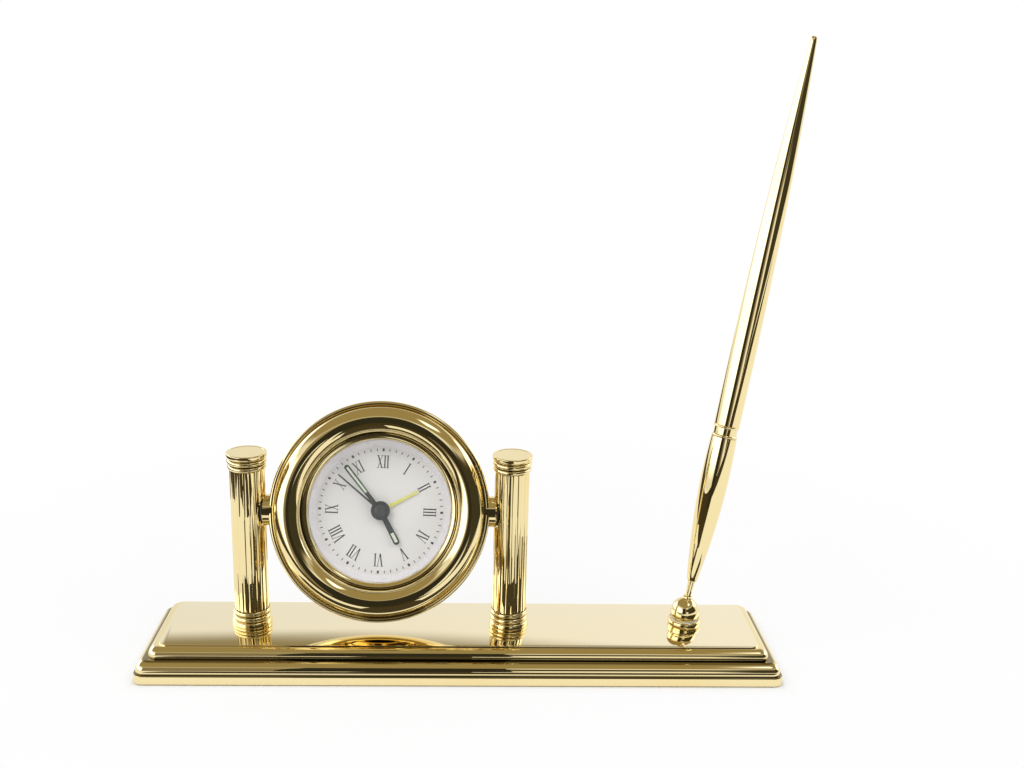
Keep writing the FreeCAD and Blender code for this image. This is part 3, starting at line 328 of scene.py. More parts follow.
@dataclass(frozen=True)
class BasePlate(GoldPlate):
    """Gold plate of the base: a painted highlight makes its flat top paler, and painted shade darkens the
    creases of the tiers.

    Heights are in metres: the flat top starts at top and fades in over edge.
    """

    top: float = 0.0102
    edge: float = 0.0002
    painted_top_highlight: Colour = (0.935, 0.83, 0.575)
    creases: Point = (0.0034, 0.0069)
    crease_half: float = 0.0003
    crease_shade_share: float = 0.8

    def colour_over(self, board: Board) -> NodeSocket:
        """Gold, then the painted highlight on the top and the painted shade in the creases, by height."""
        height = board.axes(board.place())[2]
        flat = height.step(self.top - self.edge, self.top)
        # painted highlight: paler gold over the flat top
        whole = board.mix(flat, super().colour_over(board), self.painted_top_highlight)
        half = self.crease_half
        lower, upper = (height.between(crease - half, crease + half, half / 2) for crease in self.creases)
        # painted shade: dark lines along the creases at the tiers' feet
        return board.mix((lower + upper) * self.crease_shade_share, whole, self.crease)


@dataclass(frozen=True)
class RingedPlate(GoldPlate):
    """Gold plate of a cap or foot, with painted shade between its beads.

    Lengths are in metres: about the column's axis it is dark inside the radius groove, below flat_top.
    """

    axis: Point = (0.0, 0.0)
    groove: float = 0.00575
    groove_edge: float = 0.0003
    flat_top: float = 1.0
    edge: float = 0.0002
    crease_shade_share: float = 0.85

    def colour_over(self, board: Board) -> NodeSocket:
        """Gold, with painted shade where the surface falls back between two beads but not on the flat top.
        """
        x, y, z = board.axes(board.place())
        across = (x - self.axis[0]) * (x - self.axis[0]) + (y - self.axis[1]) * (y - self.axis[1])
        deepest = (self.groove - self.groove_edge) ** 2
        deep = 1.0 - across.step(deepest, self.groove ** 2)
        below = 1.0 - z.step(self.flat_top - self.edge, self.flat_top)
        # painted shade in the grooves between the beads
        return board.mix(deep * below * self.crease_shade_share, super().colour_over(board), self.crease)


@dataclass(frozen=True)
class ClearCrystal(Finish):
    """Clear flat window with a faint veil, denser at grazing angles and where it has been touched."""

    veil: float = 0.03
    grazing: float = 0.10
    touched: float = 0.02

    def extra(self, board: Board, shader: Node) -> None:
        """Links the veil to the opacity."""
        facing = Reading(board, board.node("ShaderNodeLayerWeight", {}, {"Blend": 0.25}).outputs["Facing"])
        prints = board.noise(120.0, 3.0).step(0.5, 0.8) * self.touched
        board.tree.links.new((facing * self.grazing + prints + self.veil).socket, shader.inputs["Alpha"])


@dataclass(frozen=True)
class Felt(Finish):
    """Short pressed fibres."""

    def relief(self, board: Board) -> NodeSocket:
        """Tangled fibres over soft lumps."""
        fibres = board.noise(1.0 / self.grain, 6.0, roughness=0.8)
        lumps = board.noise(300.0, 2.0)
        return board.bump(fibres * 0.7 + lumps * 0.3, self.grain_depth)


GOLD = GoldPlate("gold_plate", (0.925, 0.775, 0.42), (0.915, 0.745, 0.37), 1.0, 0.012, 0.05, 0.03)
GOLD_BASE = BasePlate("gold_plate_base", (0.93, 0.78, 0.43), (0.92, 0.755, 0.385), 1.0, 0.02, 0.06, 0.05,
                      record_slot="gold_plate", wave=0.03, wave_depth=0.0000015)
GOLD_INSERT = GoldPlate("gold_plate_insert", GOLD.colour, GOLD.shade, 1.0, 0.13, 0.06, 0.03,
                        record_slot="gold_plate")
STEEL = Finish("zinc_steel", (0.55, 0.55, 0.57), (0.46, 0.46, 0.49), 1.0, 0.28, 0.2, 0.008, 0.0004,
               0.000008, (1.0, 0.1, 1.0))
BLACK_NYLON = Finish("black_nylon", (0.020, 0.020, 0.022), (0.034, 0.034, 0.036), 0.0, 0.45, 0.15, 0.004)
NYLON = Finish("nylon", (0.80, 0.79, 0.73), (0.74, 0.72, 0.66), 0.0, 0.4, 0.15, 0.004)
FELT = Felt("felt", (0.020, 0.026, 0.022), (0.034, 0.040, 0.034), 0.0, 0.9, 0.08, 0.012, 0.0003, 0.0002)
CRYSTAL = ClearCrystal("clear_crystal", (0.93, 0.95, 0.95), (0.97, 0.98, 0.98), 0.0, 0.02, 0.03, 0.015,
                       0.01, 0.0000004)
WHITE_RING = Finish("white_ring", (0.80, 0.775, 0.79), (0.76, 0.735, 0.75), 0.0, 0.25, 0.1, 0.01, 0.001,
                    0.000004)
WHITE_DIAL = Finish("white_dial", (0.80, 0.785, 0.755), (0.765, 0.75, 0.72), 0.0, 0.55, 0.12, 0.02,
                    0.0003, 0.000003)
PRINT = Finish("dial_print", (0.022, 0.022, 0.024), (0.05, 0.05, 0.05), 0.0, 0.5, 0.1, 0.004, 0.0003,
               0.000003, record_slot="dark_hands")
DARK_HANDS = Finish("dark_hands", (0.022, 0.026, 0.022), (0.05, 0.055, 0.05), 0.0, 0.3, 0.15, 0.004,
                    0.0004, 0.000003, coat=0.3)
LUME = Finish("pale_lume", (0.62, 0.72, 0.55), (0.70, 0.76, 0.64), 0.0, 0.7, 0.1, 0.003, 0.0002, 0.00001,
              record_slot="white_dial")
ALARM_YELLOW = Finish("alarm_yellow", (0.76, 0.74, 0.12), (0.80, 0.78, 0.22), 0.0, 0.35, 0.12, 0.004,
                      0.0004, 0.000003, coat=0.2)
BLACK_MOULDING = Finish("black_moulding", (0.020, 0.020, 0.022), (0.032, 0.032, 0.034), 0.0, 0.42, 0.18,
                        0.01, 0.00035, 0.000018)
PALE_GEARS = Finish("pale_gears", (0.80, 0.78, 0.70), (0.74, 0.71, 0.62), 0.0, 0.35, 0.15, 0.005)
BRASS = Finish("brass_arbor", (0.78, 0.55, 0.22), (0.66, 0.44, 0.17), 1.0, 0.2, 0.2, 0.004, 0.0003,
               0.000004, (1.0, 1.0, 0.1))
MAGNET = Finish("magnet", (0.10, 0.10, 0.11), (0.07, 0.07, 0.075), 1.0, 0.5, 0.2, 0.002)
SOFT_IRON = Finish("soft_iron", (0.33, 0.33, 0.35), (0.26, 0.26, 0.28), 1.0, 0.4, 0.2, 0.006, 0.0004,
                   0.00001, (0.1, 1.0, 1.0))
COPPER = Finish("copper_wire", (0.70, 0.26, 0.10), (0.56, 0.18, 0.07), 1.0, 0.3, 0.2, 0.003, 0.00012,
                0.00003, (6.0, 0.2, 0.2))
GREEN_BOARD = Finish("green_board", (0.02, 0.13, 0.05), (0.03, 0.18, 0.07), 0.0, 0.3, 0.2, 0.002, 0.0008,
                     0.00002, coat=0.4)
SOUNDER = Finish("sounder_brass", (0.72, 0.52, 0.22), (0.62, 0.43, 0.18), 1.0, 0.3, 0.2, 0.004)
CELL = Finish("cell_steel", (0.62, 0.62, 0.64), (0.52, 0.52, 0.55), 1.0, 0.22, 0.2, 0.006, 0.0004,
              0.000005)
BRONZE = Finish("spring_bronze", (0.66, 0.42, 0.19), (0.55, 0.34, 0.15), 1.0, 0.3, 0.2, 0.004)
RUBBER = Finish("gasket_rubber", (0.016, 0.016, 0.016), (0.028, 0.028, 0.028), 0.0, 0.75, 0.15, 0.005,
                0.0003, 0.00002)
REFILL = Finish("refill_steel", (0.60, 0.57, 0.50), (0.50, 0.48, 0.43), 1.0, 0.25, 0.15, 0.004, 0.0003,
                0.000004, (1.0, 1.0, 0.1))

CARRIED_FINISHES: tuple[tuple[Finish, str], ...] = (
    (FELT, "felt_pad"),
    (STEEL, "ballast_plate ballast_screws tie_rods tie_rod_nuts pivot_studs"),
    (STEEL, "holder_bolt holder_spring holder_nut"),
    (BLACK_NYLON, "friction_washers"),
    (NYLON, "ball_seat"),
    (CRYSTAL, "crystal"),
    (WHITE_DIAL, "dial"),
    (BLACK_MOULDING, "movement_plate"),
    (BRASS, "second_wheel"),
    (PALE_GEARS, "train_bridge third_wheel step_wheel centre_wheel hour_wheel alarm_wheel setting_wheel"),
    (MAGNET, "rotor"),
    (GREEN_BOARD, "circuit_board"),
    (SOFT_IRON, "stator"),
    (COPPER, "drive_coil"),
    (SOUNDER, "buzzer_disc"),
    (CELL, "button_cell"),
    (BRONZE, "cell_contacts"),
    (RUBBER, "mounting_gasket"),
    (REFILL, "pen_refill"),
    (DARK_HANDS, "hour_hand minute_hand"),
    (ALARM_YELLOW, "alarm_hand"),
)


# Mesh writing

def arc(centre: Point, radius: float, start: float, end: float, steps: int) -> list[Point]:
    """Points on an arc in the outline's plane.

    Args:
        centre: its centre as (radius, height).
        radius: its radius.
        start: first angle in degrees, 0 outwards and 90 up.
        end: last angle in degrees.
        steps: how many parts.

    Returns:
        The points, both ends included.
    """
    angles = [math.radians(degrees) for degrees in spread(start, end, steps)]
    return [(centre[0] + radius * math.cos(a), centre[1] + radius * math.sin(a)) for a in angles]


def spread(start: float, end: float, steps: int) -> list[float]:
    """Evenly spaced values, both ends included."""
    return [start + (end - start) * step / steps for step in range(steps + 1)]


def smooth(mesh: Mesh, sharp: float) -> None:
    """Shades a mesh smooth, but for edges that turn more than this many degrees."""
    mesh.polygons.foreach_set("use_smooth", [True] * len(mesh.polygons))
    mesh.set_sharp_from_angle(angle=math.radians(sharp))


def object_from(name: str, mesh: Mesh) -> Object:
    """Links a new object that holds the mesh."""
    made = bpy.data.objects.new(name, mesh)
    bpy.context.scene.collection.objects.link(made)
    return made


def mesh_from(name: str, grid: BMesh, place: Matrix, sharp: float = 32.0) -> Object:
    """Turns a mesh in millimetres into a placed object in metres, smooth with sharp creases.

    Args:
        name: the object's name.
        grid: the mesh under construction; it is freed.
        place: where its frame stands, in metres.
        sharp: edges that turn more than this many degrees stay sharp.

    Returns:
        The new object.
    """
    bmesh.ops.recalc_face_normals(grid, faces=grid.faces)
    grid.transform(place @ Matrix.Scale(MM, 4))
    mesh = bpy.data.meshes.new(name)
    grid.to_mesh(mesh)
    grid.free()
    smooth(mesh, sharp)
    return object_from(name, mesh)


def skin(grid: BMesh, low: Sequence[BMVert], high: Sequence[BMVert]) -> None:
    """Adds the faces between two rings of corners; one corner in place of a ring gives a fan."""
    around = max(len(low), len(high))
    for i in range(around):
        j = (i + 1) % around
        corners = [low[i % len(low)], low[j % len(low)], high[j % len(high)], high[i % len(high)]]
        distinct = list(dict.fromkeys(corners))
        if len(distinct) >= 3:
            grid.faces.new(distinct)


def turned(name: str, outline: Sequence[Point], place: Matrix, segments: int = 96,
           closed: bool = True, sharp: float = 32.0) -> Object:
    """Solid of revolution about the frame's Z.

    Args:
        name: the object's name.
        outline: (radius, height) points in millimetres, anticlockwise round the section.
        place: where its frame stands.
        segments: parts of the turn.
        closed: joins the last point to the first.
        sharp: crease angle in degrees.

    Returns:
        The new object.
    """
    grid = bmesh.new()
    turns = [2 * math.pi * segment / segments for segment in range(segments)]
    rings = []
    for radius, height in outline:
        on_axis = abs(radius) < 1e-6
        rings.append([grid.verts.new((radius * math.cos(a), radius * math.sin(a), height))
                      for a in (turns[:1] if on_axis else turns)])
    pairs = list(zip(rings, rings[1:]))
    if closed and len(rings[0]) > 1 and len(rings[-1]) > 1:
        pairs.append((rings[-1], rings[0]))
    for low, high in pairs:
        skin(grid, low, high)
    return mesh_from(name, grid, place, sharp)


def slabs(name: str, outlines: Iterable[Sequence[Point]], z0: float, z1: float, place: Matrix) -> Object:
    """Flat pieces over plan outlines, joined in one object.

    Args:
        name: the object's name.
        outlines: closed outlines, anticlockwise, in millimetres.
        z0: underside.
        z1: top.
        place: where the frame stands.

    Returns:
        The new object.
    """
    grid = bmesh.new()
    for outline in outlines:
        low = [grid.verts.new((x, y, z0)) for x, y in outline]
        high = [grid.verts.new((x, y, z1)) for x, y in outline]
        grid.faces.new(high)
        grid.faces.new(tuple(reversed(low)))
        skin(grid, low, high)
    return mesh_from(name, grid, place)


def evaluated_mesh(host: Object) -> Mesh:
    """What an object's modifiers make of it, as a plain mesh; the modifiers go."""
    seen = host.evaluated_get(bpy.context.evaluated_depsgraph_get())
    mesh = bpy.data.meshes.new_from_object(seen)
    host.modifiers.clear()
    return mesh


def smooth_copy(node: str, sharp: float = 28.0) -> Object:
    """A copy of a frame node with its corners merged and its curved faces shaded smooth."""
    grid = bmesh.new()
    grid.from_mesh(frame["nodes"][node].data)
    bmesh.ops.remove_doubles(grid, verts=grid.verts, dist=1e-7)
    mesh = bpy.data.meshes.new(node + "_shown")
    grid.to_mesh(mesh)
    grid.free()
    mesh.materials.clear()
    smooth(mesh, sharp)
    return object_from(node + "_shown", mesh)


def dress(piece: Object, finish: Finish, body: str, *nodes: str) -> Object:
    """Gives a piece its finish, its body and the nodes that it stands for.

    Args:
        piece: the piece.
        finish: its finish.
        body: the CAD body that carries it.
        nodes: CAD nodes that it replaces.

    Returns:
        The same piece.
    """
    piece.data.materials.clear()
    piece.data.materials.append(finish.make())
    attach(piece, body)
    if nodes:
        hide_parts(*nodes)
    LOG.info("%s: %d faces on %s", piece.name, len(piece.data.polygons), body)
    return piece


def turn_node(node: str, body: str, outline: Sequence[Point], place: Matrix, finish: Finish = GOLD,
              **shape: Any) -> Object:
    """Turns a piece that stands for one frame node, and dresses it.

    Args:
        node: the node that it replaces.
        body: the CAD body that carries it.
        outline: (radius, height) points in millimetres.
        place: where its frame stands.
        finish: its finish.
        shape: segments, closed or sharp, as for a solid of revolution.

    Returns:
        The new piece.
    """
    return dress(turned(node + "_shown", outline, place, **shape), finish, body, node)


# Geometry Nodes

class Rule(Board):
    """A geometry tree with named inputs, run once to give a plain mesh."""

    def __init__(self, name: str, sizes: dict[str, float]) -> None:
        """Starts the tree.

        Args:
            name: the tree's name.
            sizes: its named inputs and their values, in metres where they are lengths.
        """
        super().__init__(bpy.data.node_groups.new(name, "GeometryNodeTree"))
        self.sizes = sizes
        self.sockets = {}
        face = self.tree.interface
        face.new_socket("Geometry", in_out="OUTPUT", socket_type="NodeSocketGeometry")
        for key in sizes:
            socket = face.new_socket(key, in_out="INPUT", socket_type="NodeSocketFloat")
            self.sockets[key] = socket.identifier
        self.entry = self.tree.nodes.new("NodeGroupInput")

    def size(self, name: str) -> Reading:
        """One of the named inputs."""
        return Reading(self, self.entry.outputs[name])

    def index(self) -> Reading:
        """Number of each corner, from 0."""
        return Reading(self, self.node("GeometryNodeInputIndex").outputs[0])

    def join(self, x: Any, y: Any, z: Any) -> NodeSocket:
        """A vector from three numbers."""
        return self.node("ShaderNodeCombineXYZ", {}, {0: x, 1: y, 2: z}).outputs[0]

    def run(self, shape: NodeSocket, finish: Finish, name: str, place: Matrix,
            sharp: float = 32.0) -> Object:
        """Ends the tree, evaluates it and keeps the result as a plain mesh.

        Args:
            shape: the geometry made so far.
            finish: the finish it is set to.
            name: the new object's name.
            place: where its frame stands.
            sharp: crease angle in degrees.

        Returns:
            The new object, with no modifier.
        """
        real = self.node("GeometryNodeRealizeInstances", {}, {0: shape}).outputs[0]
        set_finish = self.node("GeometryNodeSetMaterial", {}, {0: real, "Material": finish.make()})
        self.node("NodeGroupOutput", {}, {0: set_finish.outputs[0]})
        host = object_from(name + "_rule", bpy.data.meshes.new(name + "_rule"))
        modifier = host.modifiers.new("rule", "NODES")
        modifier.node_group = self.tree
        for key, value in self.sizes.items():
            modifier[self.sockets[key]] = float(value)
        mesh = evaluated_mesh(host)
        mesh.name = name
        bpy.data.objects.remove(host)
        mesh.transform(place)
        smooth(mesh, sharp)
        return object_from(name, mesh)


# Base

@dataclass
class Base:
    """Stepped base: foot band, two rounded tiers and a flat top plate."""

    length: float = 200.0
    depth: float = 43.0
    foot_band: float = 3.3
    tiers: int = 2
    tier_round: float = 2.7
    tier_upright: float = 0.8
    tier_ledge: float = 0.6
    edge: float = 0.4
    felt_proud: float = 0.3
    wall: float = 2.0
    shelf: float = 8.6
    recess_top: float = 2.7
    roof_underside: float = 8.5
    corner: float = 2.8
    plate_step: float = 0.35
    plate_edge: float = 0.1
    crease: float = 13.0

    @property
    def height(self) -> float:
        """Height of the top plate."""
        return self.foot_band + self.tiers * (self.tier_round + self.tier_upright)

    def loop(self, inset: float, z: float) -> Spot:
        """One outline of the base, set in from its widest."""
        return (self.length / 2 - inset, self.depth / 2 - inset, z)

    def rounding(self, inset: float, z: float, radius: float, steps: int) -> list[Spot]:
        """Outlines over a quarter round that starts upright at this inset and height."""
        curve = arc((inset + radius, z), radius, 180, 90, steps)
        return [self.loop(reach, height) for reach, height in curve]

    def block(self, loops: Sequence[Spot]) -> Object:
        """Block with rounded corners through a stack of plan outlines.

        Args:
            loops: (half length, half depth, height) of each outline.

        Returns:
            The new object.
        """
        grid = bmesh.new()
        rings = []
        for half_x, half_y, z in loops:
            outline = []
            for start, x, y in ((180, -1, -1), (270, 1, -1), (0, 1, 1), (90, -1, 1)):
                centre = (x * (half_x - self.corner), y * (half_y - self.corner))
                outline += arc(centre, self.corner, start, start + 90, 8)
            rings.append([grid.verts.new((x, y, z)) for x, y in outline])
        for low, high in zip(rings, rings[1:]):
            skin(grid, low, high)
        grid.faces.new(rings[-1])
        grid.faces.new(tuple(reversed(rings[0])))
        return mesh_from("base_casting_shown", grid, Matrix.Identity(4), self.crease)

    def build(self) -> None:
        """Builds the casting and dresses it."""
        loops = [self.loop(self.shelf, self.roof_underside), self.loop(self.shelf, self.recess_top),
                 self.loop(self.wall, self.recess_top), self.loop(self.wall, self.felt_proud),
                 self.loop(self.edge / 2, self.felt_proud),
                 self.loop(0.0, self.felt_proud + self.edge / 2)]
        loops += self.rounding(0.0, self.foot_band - self.edge, self.edge, 5)
        inset = 0.0
        z = self.foot_band
        for tier in range(self.tiers):
            lowered = self.plate_step if tier == self.tiers - 1 else 0.0
            inset += self.tier_ledge
            loops.append(self.loop(inset, z))
            upright = z + self.tier_upright
            loops += self.rounding(inset, upright, self.tier_round - lowered, 14)
            inset += self.tier_round
            z = upright + self.tier_round
        loops.append(self.loop(inset, z - self.plate_step))
        loops += self.rounding(inset, z - self.plate_edge, self.plate_edge, 3)
        dress(self.block(loops), GOLD_BASE, "stand", "base_casting")


# Columns

@dataclass
class Column:
    """Fluted column with ringed cap and foot."""

    side: Side
    base_top: float
    clock_x: float = -26.0
    row_y: float = 1.5
    offset: float = 41.1
    height: float = 57.3
    radius: float = 5.4
    groove: float = 0.45
    groove_depth: float = 0.16
    flutes: int = 22
    crease: float = 22.0
    neck: float = 5.35
    bead: float = 0.82
    bead_reaches: Sequence[float] = (5.95, 6.1, 6.25)
    first_bead: float = 0.9
    bead_pitch: float = 1.8
    cap_height: float = 5.45
    cap_edge: float = 0.35
    rim_inside: float = 5.4
    rim_depth: float = 0.07
    overlap: float = 0.3
    spot_offset: float = 4.2
    spot_radius: float = 5.0
    spot_reach: float = 4.0
    pivot_height: float = 38.2

    @property
    def place(self) -> Matrix:
        """Frame at the column's foot."""
        x = self.clock_x + self.side.value * self.offset
        return Matrix.Translation(Vector((x, self.row_y, self.base_top)) * MM)

    def rings(self) -> list[Point]:
        """Outline of the cap from the shaft's neck up: two whole beads, the half bead and the flat top."""
        outline = [(0.0, 0.0), (self.neck, 0.0)]
        *whole, widest = self.bead_reaches
        for number, reach in enumerate(whole):
            height = self.first_bead + self.bead_pitch * number
            outline += arc((reach - self.bead, height), self.bead, -80, 80, 12)
        last = self.first_bead + self.bead_pitch * len(whole)
        outline += arc((widest - self.bead, last), self.bead, -80, 0, 8)
        outline += arc((widest - self.cap_edge, self.cap_height - self.cap_edge), self.cap_edge, 0, 90, 6)
        flat = self.cap_height - self.rim_depth
        outline += [(self.rim_inside, self.cap_height), (self.rim_inside - 0.1, flat), (0.0, flat)]
        return outline

    def build(self) -> None:
        """Builds cap, shaft and foot."""
        word = self.side.word
        tall = self.cap_height
        middle = self.place.translation
        # the rings' finish paints shade between the beads, in this crease colour
        ringed = RingedPlate("gold_plate_rings_" + word, GOLD.colour, GOLD.shade, 1.0, GOLD.roughness,
                             GOLD.spread, GOLD.patch, record_slot="gold_plate",
                             axis=(middle.x, middle.y), crease=(0.13, 0.09, 0.035),
                             flat_top=(self.base_top + self.height - 0.1) * MM)
        cap_place = self.place @ Matrix.Translation((0, 0, (self.height - tall) * MM))
        turn_node("column_cap_" + word, "stand", self.rings(), cap_place, ringed, closed=False)
        turned_over = [(r, tall - z) for r, z in reversed(self.rings())]
        turn_node("column_foot_" + word, "stand", turned_over, self.place, ringed, closed=False)
        shaft = self.fluted_shaft()
        self.cut_spot_face(shaft)
        dress(shaft, GOLD, "stand", "column_shaft_" + word)

    def fluted_shaft(self) -> Object:
        """Shaft with round grooves between broad lands, by a geometry rule."""
        name = "column_shaft_%s_shown" % self.side.word
        per_flute = 20
        bottom = self.cap_height - self.overlap
        top = self.height - self.cap_height + self.overlap
        rule = Rule(name + "_tree", {
            "Radius": self.radius * MM, "Groove": self.groove * MM, "Depth": self.groove_depth * MM,
            "Flutes": self.flutes, "Bottom": bottom * MM, "Length": (top - bottom) * MM})
        ring = rule.node("GeometryNodeMeshCircle", {"fill_type": "NGON"}, {
            "Vertices": per_flute * self.flutes, "Radius": self.radius * MM}).outputs[0]
        turn = rule.index() / float(per_flute)
        along = (turn % 1.0 - 0.5) * (rule.size("Radius") * (2 * math.pi)) / rule.size("Flutes")
        across = along / rule.size("Groove")
        reach = rule.size("Radius") - (1.0 - across * across).at_least(0.0) * rule.size("Depth")
        angle = turn * (2 * math.pi) / rule.size("Flutes")
        spot = rule.join(angle.cosine() * reach, angle.sine() * reach, rule.size("Bottom"))
        outline = rule.node("GeometryNodeSetPosition", {}, {"Geometry": ring, "Position": spot}).outputs[0]
        raised = rule.node("GeometryNodeExtrudeMesh", {"mode": "FACES"}, {
            "Mesh": outline, "Offset": rule.join(0.0, 0.0, 1.0), "Offset Scale": rule.size("Length"),
            "Individual": False}).outputs[0]
        floor = rule.node("GeometryNodeFlipFaces", {}, {0: outline}).outputs[0]
        both = rule.node("GeometryNodeJoinGeometry")
        rule.tree.links.new(raised, both.inputs[0])
        rule.tree.links.new(floor, both.inputs[0])
        whole = rule.node("GeometryNodeMergeByDistance", {}, {0: both.outputs[0], "Distance": 1e-8})
        return rule.run(whole.outputs[0], GOLD, name, self.place, self.crease)

    def cut_spot_face(self, shaft: Object) -> None:
        """Cuts the flat seat of the pivot's washer into the shaft."""
        reach = self.spot_reach
        middle = Vector((-self.side.value * (self.spot_offset + reach), 0.0, self.pivot_height)) * MM
        across = Matrix.Translation(middle) @ Matrix.Rotation(math.pi / 2, 4, "Y")
        section = [(0.0, -reach), (self.spot_radius, -reach), (self.spot_radius, reach), (0.0, reach)]
        cutter = turned("spot_cutter", section, self.place @ across, 64, closed=False)
        cut = shaft.modifiers.new("spot_face", "BOOLEAN")
        cut.operation = "DIFFERENCE"
        cut.object = cutter
        shaft.data = evaluated_mesh(shaft)
        smooth(shaft.data, self.crease)
        bpy.data.objects.remove(cutter)


# Clock

@dataclass
class ClockFrame:
    """Place of the clock: local x to the right, y towards twelve, z out of the dial."""

    x: float = -26.0
    y: float = 1.5
    z: float = 48.5
    tilt: float = 21.5

    @property
    def place(self) -> Matrix:
        """Frame at the pivot."""
        lean = Matrix.Rotation(math.radians(90.0 - self.tilt), 4, "X")
        return Matrix.Translation(Vector((self.x, self.y, self.z)) * MM) @ lean

    def turned_to(self, degrees: float) -> Matrix:
        """Frame turned clockwise past twelve."""
        return self.place @ Matrix.Rotation(-math.radians(degrees), 4, "Z")


@dataclass
class ClockCase:
    """Rear shell, bezel ring, pivot bosses and the thin insert bezel."""

    frame: ClockFrame
    radius: float = 34.2
    lip: float = 1.6
    rim_back: float = -5.6
    back_round: float = 5.7
    wall: float = 2.3
    seam: float = 4.0
    chamfer: float = 0.3
    ring_inner: float = 24.1
    ring_wall: float = 1.0
    ring_seat: float = 1.0
    ring_back: float = -9.0
    gasket: float = 22.4
    boss_radius: float = 4.9
    boss_end: float = 36.3
    boss_depth: float = 1.2
    boss_chamfer: float = 0.25
    stud_bore: float = 1.55
    insert_radius: float = 24.0
    insert_bore: float = 23.2
    insert_rise: float = 1.1
    insert_sink: float = 0.2
    insert_edge: float = 0.1
    opening: float = 22.2
    plate_back: float = -3.1

    def build(self) -> None:
        """Builds all four kinds of piece."""
        self.build_shell()
        self.build_ring()
        self.build_insert()
        for side in Side:
            self.build_boss(side)

    def build_shell(self) -> None:
        """Deep shell with its rounded lip."""
        back = self.rim_back - self.back_round
        curve = self.radius - self.back_round
        inner = self.radius - self.wall
        ring_outer = self.radius - self.lip
        seat = self.seam - self.ring_seat
        outline = arc((self.radius - self.lip / 2, self.seam), self.lip / 2, 180, 0, 14)
        outline.append((self.radius, self.rim_back))
        outline += arc((curve, self.rim_back), self.back_round, 0, -90, 16)[1:]
        outline += [(self.gasket + self.chamfer, back), (self.gasket, back + self.chamfer),
                    (self.gasket, back + self.wall)]
        outline += arc((curve, self.rim_back), inner - curve, -90, 0, 8)
        outline += [(inner, seat), (ring_outer, seat)]
        outline.reverse()
        turn_node("case_shell", "clock", outline, self.frame.place, segments=256)

    def build_ring(self) -> None:
        """Half-round bezel ring with its inner tube."""
        outer = self.radius - self.lip
        middle = (outer + self.ring_inner) / 2
        crown = (outer - self.ring_inner) / 2
        seat = self.seam - self.ring_seat
        outline = arc((middle, self.seam), crown, 0, 180, 48)
        outline += [(self.ring_inner, self.ring_back), (self.ring_inner + self.ring_wall, self.ring_back)]
        outline += arc((middle, self.seam), crown - self.ring_wall, 180, 0, 16)
        outline += [(outer - self.ring_wall, seat), (outer, seat)]
        turn_node("bezel_ring", "clock", outline, self.frame.place, segments=256)

    def build_insert(self) -> None:
        """Thin ring over the crystal, rounded off towards the dial."""
        top = self.seam + self.insert_rise
        nose = self.seam - self.insert_sink
        start = self.insert_radius - self.insert_edge
        outline = [(self.insert_radius, top - self.insert_edge), (start, top)]
        for rise, inwards in arc((0.0, 0.0), 1.0, 0, 90, 14)[1:]:
            outline.append((start - (start - self.opening) * inwards, nose + (top - nose) * rise))
        outline += [(self.insert_bore, nose), (self.insert_bore, self.plate_back),
                    (self.insert_radius, self.plate_back)]
        turn_node("insert_bezel", "clock", outline, self.frame.place, GOLD_INSERT, segments=192)

    def build_boss(self, side: Side) -> None:
        """Round boss from the rim towards the column, with a fine chamfer at its end."""
        start = self.radius - self.boss_depth
        outline = [(self.stud_bore, start), (self.boss_radius, start),
                   (self.boss_radius, self.boss_end - self.boss_chamfer),
                   (self.boss_radius - self.boss_chamfer, self.boss_end), (self.stud_bore, self.boss_end)]
        across = Matrix.Rotation(side.value * math.pi / 2, 4, "Y")
        turn_node("pivot_boss_" + side.word, "clock", outline, self.frame.place @ across)


@dataclass
class Stroke:
    """A bar of a numeral with its two serifs, leaning from the foot to the head."""

    foot: float
    head: float
    width: float


@dataclass(frozen=True)
class Filling:
    """Pale filling of a baton hand, at an angle past twelve, on a hand with its underside at hand_level."""

    name: str
    body: str
    angle: float
    start: float
    end: float
    width: float
    hand_level: float


